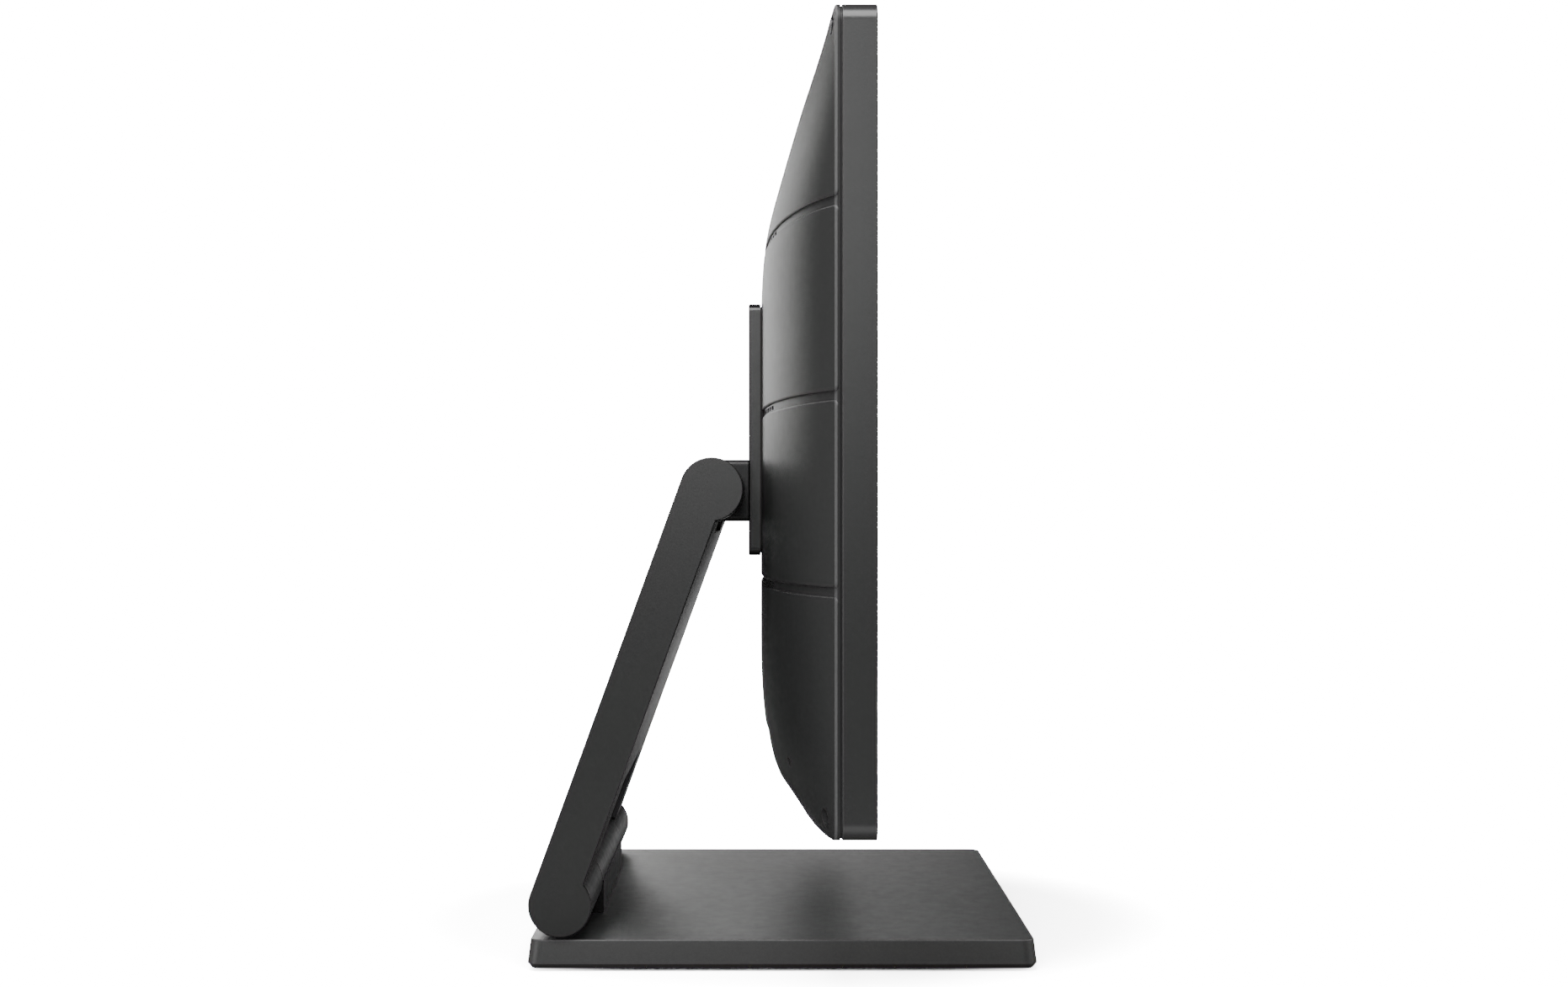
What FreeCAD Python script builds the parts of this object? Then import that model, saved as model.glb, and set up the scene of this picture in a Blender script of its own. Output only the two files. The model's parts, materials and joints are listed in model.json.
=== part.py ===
"""All-in-one desktop computer on a reclining stand.

A 23-inch-class display head with the computer inside it hangs on a wide slab
arm.  The arm turns on a barrel hinge at the rear of a flat base and carries a
second barrel hinge at its top, where the head tilts.  Millimetres, +Z up, the
screen faces -Y, the origin is under the middle of the base on the surface that
the feet stand on.
"""
import FreeCAD, Part
import math
import os

import Sketcher

V = FreeCAD.Vector
doc = FreeCAD.newDocument("AllInOnePC")
sheet = doc.addObject("Spreadsheet::Sheet", "Dims")

DIMENSIONS = [
    # head
    ("head_w", 560.0, "overall width of the head"),
    ("head_z0", 82.0, "underside of the head above the desk"),
    ("head_z1", 472.0, "top of the head above the desk"),
    ("head_front", -43.4, "front face of the bezel"),
    ("bezel_d", 16.6, "depth of the bezel band"),
    ("bezel_wall", 3.0, "wall of the bezel band"),
    ("head_corner", 9.0, "outline corner radius of the head"),
    ("seam_gap", 0.8, "shadow gap between bezel and rear cover"),
    ("flange_t", 2.1, "thickness of the rear cover flange"),
    ("bulge", 35.3, "depth of the rear cover behind its flange"),
    ("cover_wall", 3.0, "wall of the rear cover"),
    ("groove_h", 4.0, "height of the grooves across the rear cover"),
    ("groove_d", 1.3, "depth of the grooves"),
    ("groove_hi", 379.8, "upper groove height"),
    ("groove_mid", 289.2, "middle groove height"),
    ("groove_lo", 197.7, "lower groove height"),
    ("glass_t", 2.0, "cover glass thickness"),
    ("glass_z0", 129.0, "lower edge of the cover glass"),
    ("bay_half", 100.0, "half width of the connector bay"),
    ("bay_top", 117.5, "roof of the connector bay"),
    ("bay_front", -17.0, "back wall of the connector bay"),
    # stand
    ("base_w", 330.0, "base width"),
    ("base_depth", 262.6, "base depth"),
    ("base_h", 14.8, "base cover height"),
    ("base_z", 1.2, "base cover rim above the desk"),
    ("base_wall", 2.5, "base cover wall"),
    ("base_corner", 7.0, "base corner radius"),
    ("base_chamfer", 2.6, "chamfer round the lower edge of the base"),
    ("low_y", 114.0, "lower hinge axis, front to back"),
    ("low_z", 33.6, "lower hinge axis, height"),
    ("arm_len", 227.0, "distance between the hinge axes"),
    ("arm_lean", 20.0, "forward lean of the arm from the vertical"),
    ("barrel_r", 16.3, "hinge barrel radius"),
    ("slab_front", 7.7, "slab front face ahead of the hinge plane"),
    ("arm_half", 165.0, "half width of the arm"),
    ("cap_t", 2.5, "arm end cap thickness"),
    ("skin_t", 2.0, "arm front cover thickness"),
    ("knuckle_half", 81.0, "half width of the hinge knuckles"),
    ("fork_half", 81.5, "half width of the arm's notches"),
    ("notch_low", 61.7, "lower notch, from the lower axis along the arm"),
    ("notch_up", 21.9, "upper notch, from the upper axis along the arm"),
    ("shaft_r", 5.0, "hinge shaft radius"),
    ("bush_r", 7.0, "hinge bush outer radius"),
    ("pack_r", 12.0, "friction pack radius"),
    ("run_gap", 0.05, "radial running clearance"),
    ("plate_half", 60.0, "half width of the mounting plate"),
    ("plate_z0", 211.0, "mounting plate lower edge"),
    ("plate_z1", 351.0, "mounting plate upper edge"),
    ("plate_t", 6.6, "mounting plate thickness"),
    ("vesa", 100.0, "hole spacing of the mounting pattern"),
    ("vesa_z", 281.0, "centre height of the mounting pattern"),
]


class E:
    """A number together with the sheet expression that it comes from."""

    def __init__(self, v, t):
        self.v, self.t = float(v), t

    @staticmethod
    def of(o):
        return o if isinstance(o, E) else E(o, repr(float(o)))

    def __add__(self, o):
        o = E.of(o)
        return E(self.v + o.v, "(%s + %s)" % (self.t, o.t))

    def __radd__(self, o):
        return E.of(o) + self

    def __sub__(self, o):
        o = E.of(o)
        return E(self.v - o.v, "(%s - %s)" % (self.t, o.t))

    def __rsub__(self, o):
        return E.of(o) - self

    def __mul__(self, o):
        o = E.of(o)
        return E(self.v * o.v, "(%s * %s)" % (self.t, o.t))

    __rmul__ = __mul__

    def __truediv__(self, o):
        o = E.of(o)
        return E(self.v / o.v, "(%s / %s)" % (self.t, o.t))

    def __neg__(self):
        return E(-self.v, "(0 - %s)" % self.t)


d = {}
for row, (alias, value, note) in enumerate(DIMENSIONS, start=1):
    sheet.set("A%d" % row, alias)
    sheet.set("B%d" % row, repr(value))
    sheet.setAlias("B%d" % row, alias)
    sheet.set("C%d" % row, note)
    d[alias] = E(value, "Dims.%s" % alias)
doc.recompute()


def val(x):
    return x.v if isinstance(x, E) else float(x)


def bind(obj, prop, x):
    """Sets a property, and binds it to the sheet where x comes from there."""
    if isinstance(x, E):
        obj.setExpression(prop, x.t)
    else:
        setattr(obj, prop, float(x))


NODES = {}
SERIAL = [0]


def fresh(stem):
    SERIAL[0] += 1
    return "%s_%03d" % (stem, SERIAL[0])


def node(label, obj):
    obj.Label = label
    NODES[label] = obj
    return obj


# ---------------------------------------------------------------- placement
LEAN = d["arm_lean"].v
LOW = V(0, d["low_y"].v, d["low_z"].v)
UP = V(
    0,
    LOW.y - d["arm_len"].v * math.sin(math.radians(LEAN)),
    LOW.z + d["arm_len"].v * math.cos(math.radians(LEAN)),
)
ARM = FreeCAD.Placement(LOW, FreeCAD.Rotation(V(1, 0, 0), LEAN))
HOME = FreeCAD.Placement()
up_y = d["low_y"] - d["arm_len"] * E(
    math.sin(math.radians(LEAN)), "sin(Dims.arm_lean * 1 deg)"
)
up_z = d["low_z"] + d["arm_len"] * E(
    math.cos(math.radians(LEAN)), "cos(Dims.arm_lean * 1 deg)"
)


def set_place(obj, base, rotation, frame):
    """base is three numbers or E in frame; bound to the sheet where frame is the row's own."""
    local = FreeCAD.Placement(V(*[val(b) for b in base]), rotation)
    obj.Placement = frame.multiply(local)
    if frame is HOME:
        for name, b in zip("xyz", base):
            if isinstance(b, E):
                obj.setExpression("Placement.Base.%s" % name, b.t)


# ---------------------------------------------------------- Part primitives
def box(x0, x1, y0, y1, z0, z1, frame=HOME, name=None):
    o = doc.addObject("Part::Box", fresh(name or "box"))
    for prop, a, b in (("Length", x0, x1), ("Width", y0, y1), ("Height", z0, z1)):
        span = E.of(b) - E.of(a) if isinstance(a, E) or isinstance(b, E) else b - a
        bind(o, prop, span)
    set_place(o, (x0, y0, z0), FreeCAD.Rotation(), frame)
    return o


TURN = {
    "x": FreeCAD.Rotation(V(0, 1, 0), 90),
    "y": FreeCAD.Rotation(V(1, 0, 0), -90),
    "z": FreeCAD.Rotation(),
}


def cyl(axis, x, y, z, r, length, frame=HOME, name=None):
    """A cylinder that starts at x, y, z and runs its length along +axis."""
    o = doc.addObject("Part::Cylinder", fresh(name or "cyl"))
    bind(o, "Radius", r)
    bind(o, "Height", length)
    set_place(o, (x, y, z), TURN[axis], frame)
    return o


def cut(base, *tools):
    for t in tools:
        o = doc.addObject("Part::Cut", fresh("cut"))
        o.Base, o.Tool = base, t
        base = o
    return base


def fuse(*shapes):
    o = doc.addObject("Part::MultiFuse", fresh("fuse"))
    o.Shapes = list(shapes)
    return o


def group(*shapes):
    o = doc.addObject("Part::Compound", fresh("group"))
    o.Links = list(shapes)
    return o


# ------------------------------------------------------------ PartDesign
class Body:
    def __init__(self, label):
        self.b = doc.addObject("PartDesign::Body", label)
        self.last = None
        node(label, self.b)

    def sketch(self, role, offset=0.0):
        plane = [f for f in self.b.Origin.OriginFeatures if f.Role == role][0]
        s = self.b.newObject("Sketcher::SketchObject", fresh("sketch"))
        s.AttachmentSupport = [(plane, "")]
        s.MapMode = "FlatFace"
        s.AttachmentOffset = FreeCAD.Placement(V(0, 0, val(offset)), FreeCAD.Rotation())
        if isinstance(offset, E):
            s.setExpression("AttachmentOffset.Base.z", offset.t)
        return s

    def rect(self, s, x0, x1, y0, y1):
        a, b, c, e = val(x0), val(x1), val(y0), val(y1)
        g = s.GeometryCount
        pts = [V(a, c, 0), V(b, c, 0), V(b, e, 0), V(a, e, 0)]
        s.addGeometry(
            [Part.LineSegment(pts[i], pts[(i + 1) % 4]) for i in range(4)], False
        )
        for i in range(4):
            s.addConstraint(
                Sketcher.Constraint("Coincident", g + i, 2, g + (i + 1) % 4, 1)
            )
        s.addConstraint(Sketcher.Constraint("Horizontal", g))
        s.addConstraint(Sketcher.Constraint("Horizontal", g + 2))
        s.addConstraint(Sketcher.Constraint("Vertical", g + 1))
        s.addConstraint(Sketcher.Constraint("Vertical", g + 3))
        for kind, geo, x in (
            ("DistanceX", g, x0),
            ("DistanceX", g + 2, x1),
            ("DistanceY", g, y0),
            ("DistanceY", g + 2, y1),
        ):
            n = s.addConstraint(Sketcher.Constraint(kind, -1, 1, geo, 1, val(x)))
            if isinstance(x, E):
                s.setExpression("Constraints[%d]" % n, x.t)
        return s

    def circle(self, s, x, y, r):
        g = s.addGeometry(Part.Circle(V(val(x), val(y), 0), V(0, 0, 1), val(r)), False)
        n = s.addConstraint(Sketcher.Constraint("Radius", g, val(r)))
        if isinstance(r, E):
            s.setExpression("Constraints[%d]" % n, r.t)
        for kind, c in (("DistanceX", x), ("DistanceY", y)):
            n = s.addConstraint(Sketcher.Constraint(kind, -1, 1, g, 3, val(c)))
            if isinstance(c, E):
                s.setExpression("Constraints[%d]" % n, c.t)
        return s

    def pad(self, s, length, reverse=False, both=False, taper=0.0):
        f = self.b.newObject("PartDesign::Pad", fresh("pad"))
        f.Profile = s
        bind(f, "Length", length)
        f.Reversed = reverse
        if both:
            f.SideType = "Symmetric"
        if taper:
            f.TaperAngle = taper
        return self.done(f)

    def pocket(self, s, length, reverse=False, both=False):
        before = self.b.Shape.Volume
        f = self.b.newObject("PartDesign::Pocket", fresh("pocket"))
        f.Profile = s
        bind(f, "Length", length)
        f.Reversed = reverse
        if both:
            f.SideType = "Symmetric"
        self.done(f)
        if not self.b.Shape.Volume < before - 1e-3:
            raise RuntimeError("a pocket of %s cuts nothing" % self.b.Label)
        return f

    def revolve(self, s, axis_role):
        f = self.b.newObject("PartDesign::Revolution", fresh("revolve"))
        f.Profile = s
        axis = [o for o in self.b.Origin.OriginFeatures if o.Role == axis_role][0]
        f.ReferenceAxis = (axis, [""])
        f.Angle = 360.0
        return self.done(f)

    def edges(self, test):
        shape = self.last.Shape
        return [
            "Edge%d" % (i + 1) for i, e in enumerate(shape.Edges) if test(e, e.BoundBox)
        ]

    def fillet(self, test, r):
        names = self.edges(test)
        if not names:
            raise RuntimeError("no edges to round on %s" % self.b.Label)
        f = self.b.newObject("PartDesign::Fillet", fresh("fillet"))
        f.Base = (self.last, names)
        bind(f, "Radius", r)
        return self.done(f)

    def chamfer(self, test, size):
        names = self.edges(test)
        if not names:
            raise RuntimeError("no edges to bevel on %s" % self.b.Label)
        f = self.b.newObject("PartDesign::Chamfer", fresh("chamfer"))
        f.Base = (self.last, names)
        bind(f, "Size", size)
        return self.done(f)

    def polar(self, feature, axis_role, count):
        f = self.b.newObject("PartDesign::PolarPattern", fresh("polar"))
        f.Originals = [feature]
        axis = [o for o in self.b.Origin.OriginFeatures if o.Role == axis_role][0]
        f.Axis = (axis, [""])
        f.Angle = 360.0
        f.Occurrences = count
        self.b.Tip = f
        return self.done(f)

    def linear(self, feature, axis_role, length, count):
        f = self.b.newObject("PartDesign::LinearPattern", fresh("linear"))
        f.Originals = [feature]
        axis = [o for o in self.b.Origin.OriginFeatures if o.Role == axis_role][0]
        f.Direction = (axis, [""])
        f.Length = length
        f.Occurrences = count
        self.b.Tip = f
        return self.done(f)

    def done(self, f):
        doc.recompute()
        if "Invalid" in f.State or "Error" in f.State or f.Shape.isNull():
            raise RuntimeError("%s of %s failed" % (f.Name, self.b.Label))
        self.last = f
        return f

    def place(self, placement):
        self.b.Placement = placement
        doc.recompute()


def upright(bb):
    return bb.ZLength > 1 and bb.XLength < 1e-3 and bb.YLength < 1e-3


def along_y(bb):
    return bb.YLength > 0.9 and bb.XLength < 1e-3 and bb.ZLength < 1e-3


def along_x(bb):
    return bb.XLength > 1 and bb.YLength < 1e-3 and bb.ZLength < 1e-3


# =================================================================== BASE
half_w, half_d = d["base_w"] / 2, d["base_depth"] / 2
base_top = d["base_z"] + d["base_h"]
k = Body("base_cover")
k.pad(
    k.rect(k.sketch("XY_Plane", d["base_z"]), -half_w, half_w, -half_d, half_d),
    d["base_h"],
    taper=-7.0,
)
top_z, rim_z = base_top.v, d["base_z"].v
k.fillet(
    lambda e, bb: bb.ZLength > 5 and abs(bb.ZMin - rim_z) < 0.01, d["base_corner"]
)
k.chamfer(lambda e, bb: bb.ZMax < rim_z + 0.01, d["base_chamfer"])
k.fillet(lambda e, bb: bb.ZMin > top_z - 0.01, 0.7)
k.pocket(
    k.rect(
        k.sketch("XY_Plane", d["base_z"] - 0.01),
        d["base_wall"] + 1.6 - half_w,
        half_w - d["base_wall"] - 1.6,
        d["base_wall"] + 1.6 - half_d,
        half_d - d["base_wall"] - 1.6,
    ),
    d["base_h"] - d["base_wall"],
    reverse=True,
)
bolt_spots = [(x, y) for x in (-62.0, 62.0) for y in (104.0, 122.0)]
s = k.sketch("XY_Plane", base_top + 1.0)
for x, y in bolt_spots:
    k.circle(s, x, y, 2.75)
k.pocket(s, 6.0)
inner_top = base_top - d["base_wall"]

k = Body("base_ballast_plate")
k.pad(
    k.rect(k.sketch("XY_Plane", inner_top - 4.6), -158.0, 158.0, -123.0, 124.5), 4.5
)
k.fillet(lambda e, bb: upright(bb), 3.0)
pan_spots = [(x, y) for x in (-140.0, 0.0, 140.0) for y in (-95.0, 84.0)]
s = k.sketch("XY_Plane", inner_top - 4.5)
for x, y in pan_spots:
    k.circle(s, x, y, 5.0)
k.pad(s, inner_top - 4.6 - 3.4 + 0.1, reverse=True)
s = k.sketch("XY_Plane", inner_top)
for x, y in bolt_spots:
    k.circle(s, x, y, 2.75)
for x, y in pan_spots:
    k.circle(s, x, y, 1.5)
k.pocket(s, 14.0)
ballast_z = inner_top.v - 4.6

k = Body("base_bottom_pan")
k.pad(k.rect(k.sketch("XY_Plane", 2.2), -159.5, 159.5, -125.8, 125.8), 1.2)
k.fillet(lambda e, bb: upright(bb), 3.0)
s = k.sketch("XY_Plane", 4.0)
for x, y in pan_spots:
    k.circle(s, x, y, 1.6)
k.pocket(s, 3.0)

pads = []
for x0, x1, y0, y1 in (
    (-148.0, -78.0, -119.0, -107.0),
    (78.0, 148.0, -119.0, -107.0),
    (-148.0, -78.0, 103.0, 115.0),
    (78.0, 148.0, 103.0, 115.0),
):
    pads.append(box(x0, x1, y0, y1, 0.0, 2.2, name="foot"))
node("base_rubber_feet", group(*pads))

screws = []
for x, y in pan_spots:
    screws.append(
        fuse(cyl("z", x, y, 1.0, 2.7, 1.2), cyl("z", x, y, 2.2, 1.5, ballast_z + 3.4 - 2.2))
    )
node("base_pan_screws", group(*screws))

# the fixed middle of the lower hinge: a pedestal with the barrel on top
k = Body("base_knuckle")
kh = d["knuckle_half"]
k.pad(
    k.circle(k.sketch("YZ_Plane"), d["low_y"], d["low_z"], d["barrel_r"]),
    kh * 2,
    both=True,
)
k.pad(
    k.rect(
        k.sketch("YZ_Plane"), d["low_y"] - 16.9, d["low_y"] + 14.6, base_top, d["low_z"]
    ),
    kh * 2,
    both=True,
)
k.pocket(
    k.circle(k.sketch("YZ_Plane"), d["low_y"], d["low_z"], d["shaft_r"]),
    kh * 2 + 2,
    both=True,
)
s = k.sketch("XY_Plane", base_top)
for x, y in bolt_spots:
    k.circle(s, x, y, 2.5)
k.pocket(s, 9.5, reverse=True)

bolts = []
for x, y in bolt_spots:
    bolts.append(
        fuse(
            cyl("z", x, y, ballast_z - 3.6, 4.4, 3.6),
            cyl("z", x, y, ballast_z, 2.5, base_top.v + 9.0 - ballast_z),
        )
    )
node("base_knuckle_bolts", group(*bolts))

shaft_half = 156.0


def shaft(label, frame_y, frame_z):
    """A hinge shaft with a chamfered tip at each end, turned about X."""
    b = Body(label)
    s = b.sketch("XY_Plane")
    r = d["shaft_r"].v
    pts = [
        V(-shaft_half, 0, 0),
        V(shaft_half, 0, 0),
        V(shaft_half, r - 1.0, 0),
        V(shaft_half - 1.0, r, 0),
        V(-shaft_half + 1.0, r, 0),
        V(-shaft_half, r - 1.0, 0),
    ]
    s.addGeometry([Part.LineSegment(pts[i], pts[(i + 1) % 6]) for i in range(6)], False)
    for i in range(6):
        s.addConstraint(Sketcher.Constraint("Coincident", i, 2, (i + 1) % 6, 1))
    n = s.addConstraint(Sketcher.Constraint("DistanceY", -1, 1, 2, 2, r))
    s.setExpression("Constraints[%d]" % n, d["shaft_r"].t)
    b.revolve(s, "X_Axis")
    b.b.Placement = FreeCAD.Placement(V(0, frame_y.v, frame_z.v), FreeCAD.Rotation())
    b.b.setExpression("Placement.Base.y", frame_y.t)
    b.b.setExpression("Placement.Base.z", frame_z.t)
    doc.recompute()
    return b


shaft("lower_hinge_shaft", d["low_y"], d["low_z"])
PACK0, PACK1 = 83.5, 107.0


def packs(label, y, z, frame):
    """Stacks of friction discs pressed on a hinge shaft, inside the arm's barrels."""
    out = []
    for side in (-1, 1):
        discs = []
        for i in range(6):
            x0 = PACK0 + i * 3.95
            start = x0 if side > 0 else -x0 - 3.3
            discs.append(cyl("x", start, y, z, d["pack_r"], 3.3, frame))
        core = cyl(
            "x", PACK0 if side > 0 else -PACK1, y, z, 9.0, PACK1 - PACK0, frame
        )
        bore = cyl("x", -120.0 if side < 0 else 80.0, y, z, d["shaft_r"], 40.0, frame)
        out.append(cut(fuse(core, *discs), bore))
    return node(label, group(*out))


packs("lower_friction_packs", d["low_y"], d["low_z"], HOME)

# ==================================================================== ARM
# Local frame: local +Z runs up the arm from the lower axis, local +Y to the rear.
L = d["arm_len"]
inner_half = d["arm_half"] - d["cap_t"]
slab_back = d["barrel_r"]
k = Body("arm_casting")
k.pad(
    k.circle(k.sketch("YZ_Plane"), 0.0, 0.0, d["barrel_r"]), inner_half * 2, both=True
)
k.pad(
    k.rect(k.sketch("YZ_Plane"), d["skin_t"] - d["slab_front"], slab_back, 0.0, L),
    inner_half * 2,
    both=True,
)
k.pad(k.circle(k.sketch("YZ_Plane"), 0.0, L, d["barrel_r"]), inner_half * 2, both=True)
fork = d["fork_half"]
# the notches that clear the two knuckles
k.pocket(
    k.rect(k.sketch("XZ_Plane"), -fork, fork, -20.0, d["notch_low"]), 80.0, both=True
)
k.pocket(
    k.rect(k.sketch("XZ_Plane"), -fork, fork, L - d["notch_up"], L + 20.0),
    80.0,
    both=True,
)
# three lightening pockets behind the front cover, with ribs between them
for x0, x1 in ((-156.0, -56.0), (-52.0, 52.0), (56.0, 156.0)):
    k.pocket(
        k.rect(k.sketch("XZ_Plane", d["slab_front"] + 1.0), x0, x1, 68.0, L - 27.0),
        d["slab_front"] + 1.0 + slab_back - 3.0,
    )
# bores: a counterbore for each friction pack, then the bush seats
for centre in (0.0, L):
    k.pocket(
        k.circle(k.sketch("YZ_Plane"), 0.0, centre, d["pack_r"] + 0.3), 218.0, both=True
    )
    k.pocket(
        k.circle(k.sketch("YZ_Plane"), 0.0, centre, d["bush_r"]), 400.0, both=True
    )
k.fillet(
    lambda e, bb: along_y(bb) and abs(abs(bb.XMin) - fork.v) < 0.01 and bb.ZMin < L.v,
    2.0,
)
k.place(ARM)

k = Body("arm_front_cover")
k.pad(
    k.rect(
        k.sketch("XZ_Plane", d["slab_front"] - d["skin_t"]),
        0.15 - inner_half,
        inner_half - 0.15,
        15.2,
        L - 15.2,
    ),
    d["skin_t"],
)
k.pocket(
    k.rect(k.sketch("XZ_Plane"), -fork, fork, -20.0, d["notch_low"]), 80.0, both=True
)
k.pocket(
    k.rect(k.sketch("XZ_Plane"), -fork, fork, L - d["notch_up"], L + 20.0),
    80.0,
    both=True,
)
k.fillet(lambda e, bb: along_y(bb) and abs(abs(bb.XMin) - fork.v) < 0.01, 2.0)
k.place(ARM)

for side, label in ((-1, "arm_end_cap_left"), (1, "arm_end_cap_right")):
    k = Body(label)
    off = inner_half if side > 0 else -d["arm_half"]
    k.pad(k.circle(k.sketch("YZ_Plane", off), 0.0, 0.0, d["barrel_r"]), d["cap_t"])
    k.pad(
        k.rect(k.sketch("YZ_Plane", off), -d["slab_front"], slab_back, 0.0, L),
        d["cap_t"],
    )
    k.pad(k.circle(k.sketch("YZ_Plane", off), 0.0, L, d["barrel_r"]), d["cap_t"])
    face_x = side * d["arm_half"].v
    k.fillet(
        lambda e, bb: abs(bb.XMin - face_x) < 0.01 and abs(bb.XMax - face_x) < 0.01, 0.6
    )
    k.place(ARM)


def bushes(label, centre):
    out = []
    for side in (-1, 1):
        x0 = 110.0 if side > 0 else -154.0
        out.append(
            cut(
                cyl("x", x0, 0.0, centre, d["bush_r"], 44.0, ARM),
                cyl(
                    "x", x0 - 1, 0.0, centre, d["shaft_r"] + d["run_gap"], 46.0, ARM
                ),
            )
        )
    return node(label, group(*out))


bushes("arm_lower_bushes", 0.0)
bushes("arm_upper_bushes", L.v)
# ============================================================ HINGE CORE
shaft("upper_hinge_shaft", up_y, up_z)
packs("upper_friction_packs", up_y, up_z, HOME)

# =================================================================== HEAD
cover_back = d["head_front"] + d["bezel_d"] + d["seam_gap"] + d["flange_t"] + d["bulge"]
seat = cover_back  # rear face of the cover, where the mounting plate sits
plate_back = seat + d["plate_t"]

k = Body("head_knuckle")
k.pad(k.circle(k.sketch("YZ_Plane"), up_y, up_z, d["barrel_r"]), kh * 2, both=True)
k.pad(
    k.rect(k.sketch("YZ_Plane"), plate_back, up_y, up_z - 16.9, up_z + 16.9),
    kh * 2,
    both=True,
)
khv = kh.v
k.fillet(
    lambda e, bb: along_y(bb) and abs(abs(bb.XMin) - khv) < 0.01 and bb.YLength > 8,
    3.2,
)
k.pocket(
    k.circle(k.sketch("YZ_Plane"), up_y, up_z, d["shaft_r"] + d["run_gap"]),
    kh * 2 + 2,
    both=True,
)
k_spots = [(x, dz) for x in (-44.0, 44.0) for dz in (-11.6, 11.6)]
s = k.sketch("XZ_Plane", -plate_back)
for x, dz in k_spots:
    k.circle(s, x, up_z + dz, 2.0)
k.pocket(s, 9.0)

k = Body("mount_plate")
ph = d["plate_half"]
k.pad(
    k.rect(k.sketch("XZ_Plane", -plate_back), -ph, ph, d["plate_z0"], d["plate_z1"]),
    d["plate_t"],
)
k.fillet(lambda e, bb: along_y(bb), 4.5)
back_y = plate_back.v
k.fillet(lambda e, bb: bb.YMin > back_y - 0.01, 0.8)
s = k.sketch("XZ_Plane")
vh = d["vesa"] / 2
for sx in (-1, 1):
    for sz in (-1, 1):
        k.circle(s, sx * vh, d["vesa_z"] + sz * vh, 2.25)
for x, dz in k_spots:
    k.circle(s, x, up_z + dz, 2.2)
k.pocket(s, 80.0, both=True)
# counterbores on the rear face for the mounting screws
s = k.sketch("XZ_Plane", -plate_back - 0.5)
for sx in (-1, 1):
    for sz in (-1, 1):
        k.circle(s, sx * vh, d["vesa_z"] + sz * vh, 4.4)
k.pocket(s, 2.9, reverse=True)
# and on the hidden face for the screws that hold the knuckle
s = k.sketch("XZ_Plane", -seat + 0.5)
for x, dz in k_spots:
    k.circle(s, x, up_z + dz, 4.0)
k.pocket(s, 3.5)

screws = []
for sx in (-1, 1):
    for sz in (-1, 1):
        cx, cz = sx * vh.v, d["vesa_z"].v + sz * vh.v
        head = cyl("y", cx, back_y - 2.4, cz, 4.0, 2.2)
        hexes = cyl("y", cx, back_y - 1.6, cz, 1.6, 2.0)
        body = cyl("y", cx, -2.0, cz, 2.0, back_y - 2.4 + 2.0)
        screws.append(cut(fuse(head, body), hexes))
node("mount_screws", group(*screws))
screws = []
for x, dz in k_spots:
    z = UP.z + dz
    screws.append(
        fuse(
            cyl("y", x, seat.v + 0.5, z, 3.7, 2.5),
            cyl("y", x, seat.v + 3.0, z, 2.0, plate_back.v + 8.5 - seat.v - 3.0),
        )
    )
node("knuckle_screws", group(*screws))

# ---- front bezel: one moulded band with a shelf behind the glass
hw = d["head_w"] / 2
z0, z1 = d["head_z0"], d["head_z1"]
front, wall = d["head_front"], d["bezel_wall"]
k = Body("front_bezel")
k.pad(k.rect(k.sketch("XZ_Plane", -front), -hw, hw, z0, z1), d["bezel_d"], reverse=True)
k.fillet(lambda e, bb: along_y(bb), d["head_corner"])
fy, by = front.v, front.v + d["bezel_d"].v
k.pocket(
    k.rect(
        k.sketch("XZ_Plane", 1.0 - front), wall - hw, hw - wall, z0 + wall, z1 - wall
    ),
    3.4,
)
k.pocket(
    k.rect(
        k.sketch("XZ_Plane", -front - 4.0), wall - hw, hw - wall, z0 + wall, z1 - wall
    ),
    d["bezel_d"],
)
k.fillet(
    lambda e, bb: along_y(bb)
    and abs(abs(bb.XMin) - (hw.v - wall.v)) < 0.01
    and bb.YMin > -40.0,
    5.8,
)
k.fillet(
    lambda e, bb: along_y(bb)
    and abs(abs(bb.XMin) - (hw.v - wall.v)) < 0.01
    and bb.YMax < -40.5,
    5.8,
)
k.fillet(lambda e, bb: bb.YMax < fy + 0.01 and (bb.XMin < 1 - hw.v or bb.XMax > hw.v - 1 or bb.ZMin < z0.v + 1 or bb.ZMax > z1.v - 1), 0.6)
k.fillet(lambda e, bb: bb.YMin > by - 0.01 and (bb.XMin < 1 - hw.v or bb.XMax > hw.v - 1 or bb.ZMin < z0.v + 1 or bb.ZMax > z1.v - 1), 0.5)
s = k.sketch("XZ_Plane")
k.rect(s, -257.0, 257.0, 156.0, 450.0)
k.rect(s, -266.0, -132.0, 91.0, 121.0)
k.rect(s, 132.0, 246.0, 91.0, 121.0)
k.circle(s, 0.0, 460.5, 4.2)
k.circle(s, 257.0, 106.0, 4.0)
k.pocket(s, 120.0, both=True)
# side sockets in the right-hand wall
SOCKETS = [(150.0, 13.4), (172.0, 13.4), (192.0, 9.4), (216.0, 26.0)]
for zc, width in SOCKETS:
    s = k.sketch("YZ_Plane", hw + 1.0)
    k.rect(s, -38.6, -33.0 if width < 20 else -35.4, zc - width / 2, zc + width / 2)
    k.pocket(s, 5.0)

k = Body("cover_glass")
g = 0.25
k.pad(
    k.rect(
        k.sketch("XZ_Plane", -front - 2.3),
        wall + g - hw,
        hw - wall - g,
        d["glass_z0"],
        z1 - wall - g,
    ),
    d["glass_t"],
)
k.fillet(lambda e, bb: along_y(bb) and bb.ZMin > 300, 5.6)
k.fillet(lambda e, bb: bb.YMax < fy + 0.35, 0.4)

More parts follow.
